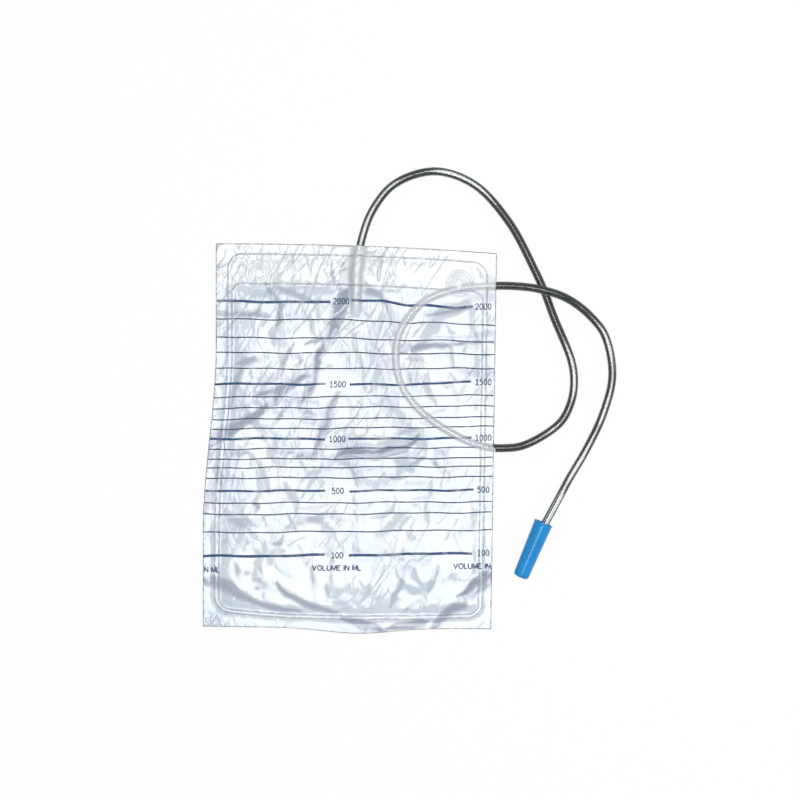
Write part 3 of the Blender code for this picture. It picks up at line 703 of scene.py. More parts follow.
def foot_rise(x):
    """How much higher the bottom seams run than a constant way in from the cut edge."""
    return np.interp(x, *zip(*FOOT_SEAM)) - bottom_edge(x) - BOTTOM_SEAMS[0]


def seam_distance(x, y, which):
    """Distance in from the outer (0) or inner (1) seam, negative outside it."""
    across = np.minimum(x - left_edge(y) - LEFT_SEAMS[which], right_edge(y) - RIGHT_SEAMS[which] - x)
    foot = bottom_edge(x) + BOTTOM_SEAMS[which] + foot_rise(x)
    upright = np.minimum(y - foot, top_edge(x) - TOP_SEAMS[which] - y)
    radius = CORNER_RADII[which]
    short_x = np.maximum(radius - across, 0.0)
    short_y = np.maximum(radius - upright, 0.0)
    round_in = radius - np.hypot(short_x, short_y)
    return np.where((short_x > 0.0) | (short_y > 0.0), round_in, np.minimum(across, upright))


def band_foot(x):
    """Where the hanging band ends, at the top of the pouch."""
    return top_edge(x) - TOP_SEAMS[1]


def edge_distance(x, y):
    """Distance in from the cut edge of the sheets."""
    across = np.minimum(x - left_edge(y), right_edge(y) - x)
    return np.minimum(across, np.minimum(y - bottom_edge(x), top_edge(x) - y))


print("seams at", LEFT_SEAMS, "from the left edge")

# %% [markdown]
# The sheet is also shaped by what it covers and what presses on it: it
# arches over the tube's inner end, and it lies flat under the tube where that
# crosses the bag and round the two punched eyelets.

# %% Eyelets and tube under and over the sheet
LEFT_EYELET = (0.0353, 0.0246)
RIGHT_EYELET = (0.0306, 0.0271)
EYELET_HOLE_R = 0.0030
EYELET_RINGS = (0.0042, 0.0062, 0.0084, 0.0106)
RING_HALF = 0.00055
RING_HEIGHT = 0.00026
EYELET_FLAT = 0.012
EYELET_FADE = 0.020
PRESS_NEAR = 0.0038
PRESS_FAR = 0.0280
DRAPE_ANGLE = math.radians(60.0)
TENT_START = 0.002
TENT_END = 0.034
TENT_SPREAD = 0.30
INLET_HALF = 0.02


def eyelet_centres():
    """Middles of the eyelets, placed from the side edges and the top edge."""
    left = left_edge(BAG_HEIGHT / 2 - LEFT_EYELET[1]) + LEFT_EYELET[0]
    right = right_edge(BAG_HEIGHT / 2 - RIGHT_EYELET[1]) - RIGHT_EYELET[0]
    places = ((left, LEFT_EYELET[1]), (right, RIGHT_EYELET[1]))
    return [(float(x), float(top_edge(x) - drop)) for x, drop in places]


def drape_height(offset):
    """Underside of a sheet laid over the tube, at an offset from its middle."""
    radius = TUBE_R + GAP
    off = np.abs(offset)
    touch = radius * math.sin(DRAPE_ANGLE)
    over = TUBE_INSIDE + np.sqrt(np.maximum(radius ** 2 - off ** 2, 0.0))
    beside = TUBE_INSIDE + radius * math.cos(DRAPE_ANGLE) - (off - touch) * math.tan(DRAPE_ANGLE)
    return np.where(off < touch, over, beside)


inner_tube = np.array([p[:] for p in tube_line if p.y < top_edge(p.x) and p.z < TUBE_ON_BAG
                       and p.x < INLET_HALF])
over_bag = np.array([p[:] for p in tube_line if p.z > TUBE_ON_BAG - TUBE_REST / 2
                     and p.y < top_edge(p.x) + PRESS_NEAR and p.x < right_edge(p.y) + PRESS_NEAR])
print(len(inner_tube), "rings inside the bag,", len(over_bag), "over it")

# %% [markdown]
# All this meets in one function. Crumple and folds are added up, held down at
# the welds, at the eyelets and under the tube, and the arch over the inner
# tube is laid over what is left. The sheet could be sculpted by hand instead,
# but a function can be asked for both sheets and for any finer grid.

# %% The height of the front sheet
EDGE_CRUMPLE = 0.55
EDGE_REACH = 0.03
# Beside the middle of the arch over the tube: where the painted shade of its
# sides comes and goes, where the painted highlight of its top ends, and where
# folds start again.
DRAPE_PAINTED_SHADE_BAND = ((0.0024, 0.0034), (0.0036, 0.0048))
DRAPE_PAINTED_HIGHLIGHT_BAND = (0.0004, 0.0018)
DRAPE_CLEAR = 0.0060
DRAPE_SHADE = 0.15
# The back sheet lifts with the front one outside the pouch, from one distance
# in from the inner seam to another.
BACK_LIFT = (-0.002, 0.008)
MARGIN_SHARE = 0.50
MARGIN_FADE = 0.0040
FLANK_CALM = 0.75
SEAM_FLAT = 0.0050
POUCH_RISE = 0.0004


def near_points(x, y, points):
    """Distance in plan to the nearest of some points."""
    best = np.full(x.shape, 1.0)
    for px, py, _ in points:
        best = np.minimum(best, np.hypot(x - px, y - py))
    return best


def sheet_shape(x, y):
    """Underside of the front sheet, top of the back sheet, and where flanks and crests are."""
    outer = seam_distance(x, y, 0)
    inner = seam_distance(x, y, 1)
    foot_of_band = band_foot(x)
    weld = np.exp(-(np.minimum(np.abs(outer), np.abs(inner)) / SEAM_FLAT) ** 2)
    fused = (outer > 0.0) & (inner < 0.0) & (y <= foot_of_band)
    weld = np.where(fused, 1.0, weld)
    free = 1.0 - MARGIN_SHARE * weld
    past = mix(-outer, -inner, smooth(y, foot_of_band - MARGIN_FADE, foot_of_band))
    free = free * mix(1.0, MARGIN_SHARE, smooth(past, 0.0, MARGIN_FADE))
    folds, flank, crest = fold_height(x, y)
    middle = sum(height for _, _, _, height in CRUMPLES) / 2.0
    calm = 1.0 - FLANK_CALM * np.clip(flank, 0.0, 1.0)
    crumpled = middle + (crumple(x, y) - middle) * calm
    rise = POUCH_RISE + folds + crumpled * mix(EDGE_CRUMPLE, 1.0, smooth(inner, 0.0, EDGE_REACH))
    slack = smooth(near_points(x, y, over_bag), PRESS_NEAR, PRESS_FAR)
    for ex, ey in eyelet_centres():
        slack = slack * smooth(np.hypot(x - ex, y - ey), EYELET_FLAT, EYELET_FADE)
    rise = rise * free * slack
    axis_x = np.interp(y, inner_tube[:, 1], inner_tube[:, 0])
    past_end = np.maximum(inner_tube[0, 1] - TENT_START - y, 0.0)
    fade = 1.0 - smooth(past_end, 0.0, TENT_END)
    spread = (x - axis_x) / (1.0 + TENT_SPREAD * past_end / TENT_END)
    flat = FILM + GAP
    hump = (drape_height(spread) - flat) * fade
    off = np.abs(spread)
    # Painted shade on the arch's sides and a painted highlight along its top.
    beside = smooth(off, *DRAPE_PAINTED_SHADE_BAND[0]) * (1.0 - smooth(off, *DRAPE_PAINTED_SHADE_BAND[1])) * fade
    flank = flank * (1.0 - smooth(fade, 0.0, 0.5) * (off < DRAPE_CLEAR))
    flank = np.maximum(flank, DRAPE_SHADE * beside)
    crest = np.maximum(crest, (1.0 - smooth(off, *DRAPE_PAINTED_HIGHLIGHT_BAND)) * fade)
    back_lift = rise * (1.0 - smooth(inner, *BACK_LIFT)) * (np.abs(x - axis_x) >= INLET_HALF)
    return flat + np.maximum(rise, hump), FILM + back_lift, flank, crest


print("underside of the front sheet starts at", FILM + GAP)

# %% [markdown]
# ## Finishes
#
# Every finish is a Principled shader fed by a few textures in the object's own
# coordinates. Soft film is clear PVC: it barely hides what is under it, but it
# mirrors the lamp strongly, so it gets a low alpha and a high specular level.
# The sheets carry their seams, cut edges and fold flanks as values on their
# points, and the film's colour and bump read those values.

# %% Material helpers
def new_finish(name, roughness, specular=0.5, alpha=1.0):
    """A material with one Principled shader, and that shader and its node tree."""
    finish = bpy.data.materials.new(name)
    finish.use_nodes = True
    nodes = finish.node_tree
    shader = nodes.nodes["Principled BSDF"]
    shader.inputs["Roughness"].default_value = roughness
    shader.inputs["Specular IOR Level"].default_value = specular
    shader.inputs["Alpha"].default_value = alpha
    return finish, nodes, shader


def textured(nodes, kind, scale, stretch=None, **settings):
    """A texture in object coordinates, scale repeats to the metre, drawn out along a turned axis.

    stretch is (degrees, times): how far the texture's long direction is turned
    from +Y, and how many times longer it is than wide.
    """
    place = nodes.nodes.new("ShaderNodeTexCoord").outputs["Object"]
    if stretch:
        turn = add_node(nodes, "ShaderNodeMapping", Rotation=(0.0, 0.0, -math.radians(stretch[0])))
        squeeze = add_node(nodes, "ShaderNodeMapping", Scale=(1.0, 1.0 / stretch[1], 1.0))
        nodes.links.new(place, turn.inputs["Vector"])
        nodes.links.new(turn.outputs["Vector"], squeeze.inputs["Vector"])
        place = squeeze.outputs["Vector"]
    made = add_node(nodes, kind, Scale=scale, **settings)
    nodes.links.new(place, made.inputs["Vector"])
    return made


def point_value(nodes, name):
    """A value that the mesh keeps on its points."""
    return add_node(nodes, "ShaderNodeAttribute", attribute_name=name).outputs["Fac"]


print("helpers for finishes and textures ready")

# %% Helpers for sums of values
def remap(nodes, value, low, high, start=0.0, end=1.0):
    """start below low, end above high, smooth between."""
    made = add_node(nodes, "ShaderNodeMapRange", interpolation_type="SMOOTHSTEP")
    for slot, number in zip(("From Min", "From Max", "To Min", "To Max"), (low, high, start, end)):
        made.inputs[slot].default_value = number
    nodes.links.new(value, made.inputs["Value"])
    return made.outputs["Result"]


def maths(nodes, operation, a, b=None):
    """The result of one operation on numbers or sockets."""
    made = add_node(nodes, "ShaderNodeMath", operation=operation)
    for slot, value in zip(made.inputs, (a, b)):
        if value is None:
            continue
        if isinstance(value, (int, float)):
            slot.default_value = value
        else:
            nodes.links.new(value, slot)
    return made.outputs[0]


def mix_colour(nodes, factor, a, b):
    """Colour a where factor is 0 and b where it is 1; each a colour or a socket."""
    made = add_node(nodes, "ShaderNodeMix", data_type="RGBA")
    for slot, value in zip((made.inputs[0], made.inputs[6], made.inputs[7]), (factor, a, b)):
        if isinstance(value, tuple):
            slot.default_value = (*value, 1.0)
        else:
            nodes.links.new(value, slot)
    return made.outputs[2]


def bump(nodes, height, distance, below=None):
    """A bump of some distance in metres, laid over another one if given."""
    made = add_node(nodes, "ShaderNodeBump", Distance=distance, Strength=1.0)
    nodes.links.new(height, made.inputs["Height"])
    if below is not None:
        nodes.links.new(below, made.inputs["Normal"])
    return made.outputs["Normal"]


print("helpers for sums ready")

# %% [markdown]
# The steep flanks of the folds turn away from the lamp, and their grey is
# painted shade; the crests get a painted highlight; and a heat weld and a cut
# edge both read as thin grey lines. Those are shades of one base colour, laid
# over each other in that order. A painted picture could hold them too, but it
# would have to be painted anew for each fold that moves.

# %% The films' colours
FILM_WHITE = (0.81, 0.86, 0.91)
FILM_COOL = (0.71, 0.80, 0.88)
BAND_WHITE = (0.86, 0.885, 0.90)
FLANK_PAINTED_SHADE = (0.28, 0.325, 0.445)
SEAM_GREY = (0.34, 0.36, 0.40)
RIM_GREY = (0.16, 0.17, 0.20)
CREST_PAINTED_HIGHLIGHT = (0.96, 0.97, 0.98)
FILM_ALPHA = 0.50
SEAM_HALF = 0.0004
SEAM_FADE = (0.6, 1.6)
SEAM_WEAR = (0.38, 0.56, 0.25, 1.0)
CREST_COVER = 0.8
RIM_REACH = (0.0003, 0.0010)
RIM_COVER = 0.9


def seam_mask(nodes):
    """1 on the two seam lines, 0 beside them."""
    lines = [maths(nodes, "ABSOLUTE", point_value(nodes, name)) for name in ("seam_outer", "seam_inner")]
    nearest = maths(nodes, "MINIMUM", *lines)
    return remap(nodes, nearest, SEAM_HALF * SEAM_FADE[0], SEAM_HALF * SEAM_FADE[1], 1.0, 0.0)


def marked(nodes, colour, seam_share, flank_share):
    """The film's colour, greyer on seams and cut edges, with painted shade on flanks and a painted
    highlight on crests.
    """
    # Painted shade on the fold flanks, then a painted highlight on the crests.
    flank = maths(nodes, "MULTIPLY", point_value(nodes, "flank"), flank_share)
    colour = mix_colour(nodes, flank, colour, FLANK_PAINTED_SHADE)
    crest = maths(nodes, "MULTIPLY", point_value(nodes, "crest"), CREST_COVER)
    colour = mix_colour(nodes, crest, colour, CREST_PAINTED_HIGHLIGHT)
    worn = textured(nodes, "ShaderNodeTexNoise", 240.0, Detail=2.0)
    broken = remap(nodes, worn.outputs["Fac"], *SEAM_WEAR)
    seam = maths(nodes, "MULTIPLY", seam_mask(nodes), broken)
    colour = mix_colour(nodes, maths(nodes, "MULTIPLY", seam, seam_share), colour, SEAM_GREY)
    rim = remap(nodes, point_value(nodes, "edge"), *RIM_REACH, RIM_COVER, 0.0)
    return mix_colour(nodes, maths(nodes, "MULTIPLY", rim, broken), colour, RIM_GREY)


print("film", FILM_WHITE, "to", FILM_COOL)

# %% [markdown]
# The front film is glossy and half clear, the back film milky and duller.
# Creases finer than the grid are bump: noise is drawn out one way, and the
# line where it passes its middle value winds about as a crease does.

# %% The films' finishes
FILM_ROUGHNESS = 0.11
# Noise lies mostly between 0.3 and 0.7, so this much of it gives both whites.
FILM_TINT = (0.35, 0.65)
# How strongly seams and the flanks' painted shade show, as shares.
FILM_MARKS = (0.75, 0.9)
FILM_RIPPLE = 0.00026
SEAM_BUMP = 0.00025
# Each net of creases: repeats to the metre, turn, stretch, width and height.
FILM_CREASES = (
    (48.0, -32.0, 3.6, 0.08, 0.00042),
    (95.0, 12.0, 2.6, 0.10, 0.00020),
)
BACK_ROUGHNESS = 0.34
BACK_WHITES = ((0.83, 0.87, 0.91), (0.90, 0.92, 0.94))
# On the back film the seams and the painted shade of the folds above show more faintly; the crests'
# painted highlight shows as on the front.
BACK_MARKS = (0.3, 0.35)
BACK_RIPPLE = 0.0001


def creases(nodes, scale, turn, times, width):
    """Height of a net of fine creases: 0 in a crease, 1 away from it."""
    veins = textured(nodes, "ShaderNodeTexNoise", scale, stretch=(turn, times), Detail=2.0, Distortion=0.7)
    off_line = maths(nodes, "ABSOLUTE", maths(nodes, "SUBTRACT", veins.outputs["Fac"], 0.5))
    return remap(nodes, off_line, 0.0, width)


def film_finish():
    """The front film: glossy, half clear and finely creased."""
    finish, nodes, shader = new_finish("clear_soft_film", FILM_ROUGHNESS, specular=1.0, alpha=FILM_ALPHA)
    tint = textured(nodes, "ShaderNodeTexNoise", 22.0, Detail=3.0)
    colour = mix_colour(nodes, remap(nodes, tint.outputs["Fac"], *FILM_TINT), FILM_WHITE, FILM_COOL)
    colour = mix_colour(nodes, point_value(nodes, "band"), colour, BAND_WHITE)
    nodes.links.new(marked(nodes, colour, *FILM_MARKS), shader.inputs["Base Color"])
    fine = textured(nodes, "ShaderNodeTexNoise", 300.0, stretch=(-20.0, 1.8), Detail=2.0, Roughness=0.6)
    crinkled = point_value(nodes, "crinkle")
    ripple = bump(nodes, maths(nodes, "MULTIPLY", fine.outputs["Fac"], crinkled), FILM_RIPPLE)
    for scale, turn, times, width, height in FILM_CREASES:
        net = maths(nodes, "MULTIPLY", creases(nodes, scale, turn, times, width), crinkled)
        ripple = bump(nodes, net, height, ripple)
    ripple = bump(nodes, seam_mask(nodes), SEAM_BUMP, ripple)
    nodes.links.new(ripple, shader.inputs["Normal"])
    return finish


def back_finish():
    """The back film: milky, duller and smoother, with fainter painted shade under the folds."""
    finish, nodes, shader = new_finish("milky_film", BACK_ROUGHNESS)
    tint = textured(nodes, "ShaderNodeTexNoise", 30.0, Detail=3.0)
    colour = mix_colour(nodes, tint.outputs["Fac"], *BACK_WHITES)
    nodes.links.new(marked(nodes, colour, *BACK_MARKS), shader.inputs["Base Color"])
    fine = textured(nodes, "ShaderNodeTexNoise", 260.0, Detail=2.0)
    nodes.links.new(bump(nodes, fine.outputs["Fac"], BACK_RIPPLE), shader.inputs["Normal"])
    return finish


clear_film = film_finish()
milky_film = back_finish()
print("films", clear_film.name, milky_film.name)

# %% [markdown]
# ## The two sheets
#
# Each sheet is a grid whose lines follow the outline, closer together at the
# seams. The grid is made finer round the eyelets, every point is lifted by the
# height function, the holes are opened, and Solidify gives the film its real
# thickness. A cloth simulation would crumple it too, but not with the folds
# that this bag has.

# %% Grid lines
SHEET_STEP = 0.00138
BACK_STEP = 0.0026
STEP_SPARE = 0.2
SEAM_SIDE = 0.0005
EDGE_RIM = 0.0008


def filled(stops, step):
    """The stops, with more values between them, at most step apart."""
    values = []
    for a, b in zip(stops, stops[1:]):
        count = max(1, math.ceil((b - a) / step - STEP_SPARE))
        values += [mix(a, b, i / count) for i in range(count)]
    return values + [stops[-1]]


def seam_stops(seams):
    """Distances from an edge with lines on and beside each seam."""
    stops = [0.0, EDGE_RIM]
    for seam in seams:
        stops += [seam - SEAM_SIDE, seam, seam + SEAM_SIDE]
    return stops


def grid_lines(low_seams, high_seams, span, step):
    """Grid lines one way, each measured from the low edge, the high one or as a share between."""
    low = filled(seam_stops(low_seams), step)
    high = filled(seam_stops(high_seams), step)
    count = round((span - low[-1] - high[-1]) / step)
    lines = [("low", d) for d in low]
    lines += [("share", i / count) for i in range(1, count)]
    return lines + [("high", d) for d in reversed(high)], low[-1], high[-1]


def place_lines(lines, low_reach, high_reach, low, high, rise=0.0):
    """Where each grid line lies between two edges; the low seams may rise from their edge."""
    placed = []
    for kind, value in lines:
        if kind == "low":
            placed.append(low + value + rise * min(value / BOTTOM_SEAMS[0], 1.0))
        elif kind == "high":
            placed.append(high - value)
        else:
            placed.append(mix(low + low_reach + rise, high - high_reach, value))
    return placed


print("sheet grid step", SHEET_STEP)

# %% A flat sheet
SETTLE_ROUNDS = 3
EYELET_FINE = 0.0122
HOLE_RIM = (0.5 * EYELET_HOLE_R, 1.5 * EYELET_HOLE_R)
HOLE_MERGE = 0.00002


def flat_sheet(name, step):
    """An open flat grid inside the outline, finer round the eyelets."""
    columns, left_reach, right_reach = grid_lines(LEFT_SEAMS, RIGHT_SEAMS, BAG_WIDTH, step)
    rows, low_reach, top_reach = grid_lines(BOTTOM_SEAMS, TOP_SEAMS, BAG_HEIGHT, step)
    start_x = np.linspace(-BAG_WIDTH / 2, BAG_WIDTH / 2, len(columns))
    start_y = np.linspace(-BAG_HEIGHT / 2, BAG_HEIGHT / 2, len(rows))
    x, y = np.meshgrid(start_x, start_y)
    for _ in range(SETTLE_ROUNDS):
        placed = place_lines(columns, left_reach, right_reach, left_edge(y), right_edge(y))
        x = np.stack([column[:, i] for i, column in enumerate(placed)], axis=1)
        placed = place_lines(rows, low_reach, top_reach, bottom_edge(x), top_edge(x), foot_rise(x))
        y = np.stack([row[j] for j, row in enumerate(placed)], axis=0)
    body = bmesh.new()
    bmesh.ops.create_grid(body, x_segments=len(columns) - 1, y_segments=len(rows) - 1, size=0.5)
    for vert in body.verts:
        column = round((vert.co.x + 0.5) * (len(columns) - 1))
        row = round((vert.co.y + 0.5) * (len(rows) - 1))
        vert.co = Vector((x[row, column], y[row, column], 0.0))
    for ex, ey in eyelet_centres():
        middle = Vector((ex, ey, 0.0))
        near = [f for f in body.faces if (f.calc_center_median() - middle).length < EYELET_FINE]
        edges = list({edge for face in near for edge in face.edges})
        bmesh.ops.subdivide_edges(body, edges=edges, cuts=2, use_grid_fill=True)
        inside = [f for f in body.faces if (f.calc_center_median() - middle).length < EYELET_HOLE_R]
        bmesh.ops.delete(body, geom=inside, context="FACES")
        for vert in body.verts:
            out = vert.co - middle
            if vert.is_boundary and HOLE_RIM[0] < out.length < HOLE_RIM[1]:
                vert.co = middle + out.normalized() * EYELET_HOLE_R
    bmesh.ops.remove_doubles(body, verts=body.verts, dist=HOLE_MERGE)
    mesh = bpy.data.meshes.new(name)
    body.to_mesh(mesh)
    body.free()
    return mesh


print("eyelets at", [(round(x, 4), round(y, 4)) for x, y in eyelet_centres()])

# %% [markdown]
# Every point keeps a few values for the finishes: how far it is from each
# seam and from the cut edge, whether it is on a flank, a crest or the hanging
# band, and how finely creased the film is there. The creasing differs over
# the bag: it is strongest on the left and weakest at the foot.

# %% Values on the sheets' points
def point_places(mesh):
    """The places of a mesh's points, a row for each."""
    places = np.zeros(len(mesh.vertices) * 3)
    mesh.vertices.foreach_get("co", places)
    return places.reshape(-1, 3)


def eyelet_rings(x, y):
    """Height of the rings embossed round the eyelets."""
    rise = np.zeros_like(x)
    for ex, ey in eyelet_centres():
        radius = np.hypot(x - ex, y - ey)
        for ring in EYELET_RINGS:
            rise = np.maximum(rise, RING_HEIGHT * np.exp(-((radius - ring) / RING_HALF) ** 2))
    return rise


BAND_FADE = 0.0040
# The fine creases weaken to a share of their strength over a stretch of y at
# the foot, and over a stretch of x on the right. Their patches are one more
# layer of facets: width, stretch, turn, height and seed.
CRINKLE_FOOT = 0.45
CRINKLE_FOOT_END = (-0.090, 0.010)
CRINKLE_RIGHT = 0.65
CRINKLE_RIGHT_START = (0.030, 0.060)
CRINKLE_PATCH = (0.030, 1.4, 50.0, 1.8, 21)
CRINKLE_LEAST = 0.15


def crinkle(x, y, flank):
    """How finely creased the film is: most left of the inlet, least at the foot and on flanks."""
    share = mix(CRINKLE_FOOT, 1.0, smooth(y, *CRINKLE_FOOT_END))
    share = share * mix(1.0, CRINKLE_RIGHT, smooth(x, *CRINKLE_RIGHT_START))
    patches = np.clip(crumple_layer(x, y, *CRINKLE_PATCH), CRINKLE_LEAST, 1.0)
    return share * patches * (1.0 - FLANK_CALM * np.clip(flank, 0.0, 1.0))


def band_share(x, y):
    """1 on the hanging band above the pouch, where the sheets lie close and look whiter."""
    return smooth(y, band_foot(x) - BAND_FADE, band_foot(x) + BAND_FADE)


def keep_values(mesh, values):
    """Keeps named values on a mesh's points, for its finish to read."""
    for name, numbers in values.items():
        slot = mesh.attributes.new(name, "FLOAT", "POINT")
        slot.data.foreach_set("value", np.asarray(numbers, np.float32))


print("crinkle from", CRINKLE_LEAST, "to 1")

# %% [markdown]
# A sheet is then one grid, one lift and one thickness. The front one also
# gets the embossed rings and a low bead along each seam, as the welding tool
# leaves them.

# %% Make the sheets
SEAM_BEAD = 0.00018


def make_sheet(name, step, is_front, finish):
    """One sheet of the bag, lifted to its shape and given its thickness."""
    mesh = flat_sheet(name, step)
    places = point_places(mesh)
    x = places[:, 0]
    y = places[:, 1]
    front, back, flank, crest = sheet_shape(x, y)
    outer = seam_distance(x, y, 0)
    inner = seam_distance(x, y, 1)
    bead = SEAM_BEAD * np.exp(-(np.minimum(np.abs(outer), np.abs(inner)) / SEAM_HALF) ** 2)
    if is_front:
        places[:, 2] = front + bead + eyelet_rings(x, y)
    else:
        places[:, 2] = back - FILM
    mesh.vertices.foreach_set("co", places.ravel())
    keep_values(mesh, {
        "seam_outer": outer,
        "seam_inner": inner,
        "edge": edge_distance(x, y),
        "flank": flank,
        "crest": crest,
        "crinkle": crinkle(x, y, flank),
        "band": band_share(x, y),
    })
    mesh.materials.append(finish)
    mesh.shade_smooth()
    sheet = bpy.data.objects.new(name, mesh)
    bpy.context.scene.collection.objects.link(sheet)
    shell = sheet.modifiers.new("thickness", "SOLIDIFY")
    shell.thickness = FILM
    shell.offset = 1.0
    return sheet


back_sheet = make_sheet("back_sheet", BACK_STEP, False, milky_film)
front_sheet = make_sheet("front_sheet", SHEET_STEP, True, clear_film)
for sheet in (back_sheet, front_sheet):
    print(sheet.name, len(sheet.data.polygons), "faces on one side")

# %% [markdown]
# The frame knows both sheets as plain solids. Each dressed sheet moves with
# the bag and stands in for its solid, which is hidden.

# %% The sheets stand for the frame's solids
for sheet, node, slot in ((back_sheet, "back_film", "white_film"),
                          (front_sheet, "front_film", "clear_film")):
    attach(sheet, "bag")
    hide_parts(node)
    print(sheet.name, "stands for", node)

# %% [markdown]
# ## The printed scale
#
# Blue ink is printed across the front sheet: a thick line and its number at
# each round volume, thin lines between. The print runs off both sides, as on
# film printed from a roll. Each line is a thin ribbon laid on the sheet by
# dropping its points onto it, so it rides over every fold.

# %% Ink
THICK_BLUE = (0.018, 0.068, 0.185)
THIN_BLUE = (0.022, 0.038, 0.105)
WORDS_BLUE = (0.020, 0.055, 0.150)
# Thin and worn ink: the share of its colour that stays and the white beside it.
THIN_INK = (0.55, 0.13)
WORN_INK = (0.45, 0.28)
WEAR_FADE = 0.2
SPECKLE = (0.45, 0.75)
INK_ROUGHNESS = 0.32


def ink_finish(name, colour, wear_from):
    """Ink that is thin in places, so that the white film shows through it."""
    finish, nodes, shader = new_finish(name, INK_ROUGHNESS, specular=0.25)
    thin, pale = (tuple(kept * c + white for c in colour) for kept, white in (THIN_INK, WORN_INK))
    speckle = textured(nodes, "ShaderNodeTexNoise", 700.0, Detail=2.0)
    patch = textured(nodes, "ShaderNodeTexNoise", 55.0, Detail=2.0)
    mottled = mix_colour(nodes, remap(nodes, speckle.outputs["Fac"], *SPECKLE), colour, thin)
    worn = remap(nodes, patch.outputs["Fac"], wear_from, wear_from + WEAR_FADE)
    mottled = mix_colour(nodes, worn, mottled, pale)
    nodes.links.new(mottled, shader.inputs["Base Color"])
    return finish


thick_ink = ink_finish("thick_line_ink", THICK_BLUE, 0.50)
thin_ink = ink_finish("thin_line_ink", THIN_BLUE, 0.58)
word_ink = ink_finish("word_ink", WORDS_BLUE, 0.66)
print("inks", thick_ink.name, thin_ink.name, word_ink.name)

# %% Lay a flat shape on the sheet
INK_GAP = 0.00009
INK_THICKNESS = 0.00002
DROP_FROM = 0.05

front_surface = BVHTree.FromObject(front_sheet, bpy.context.evaluated_depsgraph_get())


def lay_on_sheet(body):
    """Drops every point of a flat mesh onto the front sheet; points off it are removed."""
    missed = []
    for vert in body.verts:
        hit = front_surface.ray_cast(Vector((vert.co.x, vert.co.y, DROP_FROM)), Vector((0.0, 0.0, -1.0)))
        if hit[0] is None:
            missed.append(vert)
        else:
            vert.co.z = hit[0].z + INK_GAP
    bmesh.ops.delete(body, geom=missed, context="VERTS")


print("front sheet reaches", round(max(v.co.z for v in front_sheet.data.vertices), 4), "m up")

# %% [markdown]
# The printed lines aren't quite straight, since the film stretched after it
# was printed, and their edges are a little uneven. A picture of them would
# blur close up. A ribbon through a few measured places stays sharp, and gets
# a slow wave and a slightly random width.

# %% Where the lines are
THIN_LINE = 0.0009
# Each thick line: its volume and width, then its part left of the number and
# its part right of it, as (x, y) places.
THICK_LINES = (
    ("2000", 0.0021, ((-0.111, 0.1121), (-0.0155, 0.1107)),
     ((0.0013, 0.1129), (0.0277, 0.1121), (0.0497, 0.1091), (0.0636, 0.1080), (0.0872, 0.1064),
      (0.1000, 0.1075))),
    ("1500", 0.0018, ((-0.112, 0.0444), (-0.0196, 0.0444)),
     ((-0.0002, 0.0440), (0.050, 0.0442), (0.0986, 0.0460))),
    ("1000", 0.0018, ((-0.116, -0.0001), (-0.0196, -0.0001)),
     ((-0.0011, -0.0004), (0.050, 0.0), (0.0994, 0.0007))),
    ("500", 0.0017, ((-0.119, -0.0425), (-0.0196, -0.0425)),
     ((-0.0002, -0.0425), (0.050, -0.0422), (0.1008, -0.0416))),
    ("100", 0.0021, ((-0.120, -0.0958), (-0.0200, -0.0949)),
     ((-0.0008, -0.0949), (0.050, -0.0940), (0.1000, -0.0931))),
)
# Thin lines: height at the left edge, in the middle and at the right edge.
THIN_LINES = (
    (0.0974, 0.0966, 0.0923), (0.0825, 0.0815, 0.0786), (0.0700, 0.0697, 0.0685),
    (0.0571, 0.0568, 0.0571), (0.0336, 0.0342, 0.0353), (0.0245, 0.0254, 0.0267),
    (0.0156, 0.0163, 0.0175), (0.0077, 0.0086, 0.0099), (-0.0087, -0.0080, -0.0069),
    (-0.0167, -0.0163, -0.0155), (-0.0238, -0.0232, -0.0224), (-0.0322, -0.0317, -0.0308),
    (-0.0525, -0.0520, -0.0513), (-0.0618, -0.0612, -0.0599), (-0.0766, -0.0755, -0.0742),
)
print(len(THICK_LINES), "thick lines and", len(THIN_LINES), "thin ones")

# %% Draw the lines
RIBBON_STEP = 0.0007
RIBBON_UNEVEN = 0.05
PRINT_EDGE = 0.0004
# Where each group of ribbons starts counting its random widths.
RIGHT_SEED = 20
THIN_SEED = 40
# Two waves of the print: height, length, drift from line to line, start.
PRINT_WAVES = ((0.00035, 0.0135, 31.0, 0.0), (0.00025, 0.0061, 80.0, 1.3))
# The upper lines dip by some depth, at one x, over some width, from one y to another.
PRINT_DIP = 0.0010
PRINT_DIP_AT = (0.046, 0.010)
PRINT_DIP_FROM = (0.05, 0.10)


def on_bag(x, y):
    """Whether a place is on the film, where there is something to print on."""
    return left_edge(y) + PRINT_EDGE < x < right_edge(y) - PRINT_EDGE


def print_wander(x, y):
    """How far the print strays from straight, by the stretch of the film."""
    wander = sum(high * np.sin(x / wave + drift * y + start) for high, wave, drift, start in PRINT_WAVES)
    dip = np.exp(-((x - PRINT_DIP_AT[0]) / PRINT_DIP_AT[1]) ** 2) * smooth(y, *PRINT_DIP_FROM)
    return wander - PRINT_DIP * dip


def ribbon(body, places, width, seed):
    """A strip through some (x, y) places, a little uneven in width."""
    xs = np.arange(places[0][0], places[-1][0], RIBBON_STEP)
    ys = np.interp(xs, [p[0] for p in places], [p[1] for p in places])
    ys = ys + print_wander(xs, ys)
    uneven = np.random.default_rng(seed).normal(0.0, RIBBON_UNEVEN, len(xs))
    half = width / 2 * (1.0 + np.convolve(uneven, np.ones(3) / 3, mode="same"))
    last = None
    for x, y, reach in zip(xs, ys, half):
        if not on_bag(x, y):
            last = None
            continue
        row = [body.verts.new((x, y + side * reach, 0.0)) for side in (-1.0, 0.0, 1.0)]
        if last:
            for low, high in ((0, 1), (1, 2)):
                body.faces.new((last[low], row[low], row[high], last[high]))
        last = row


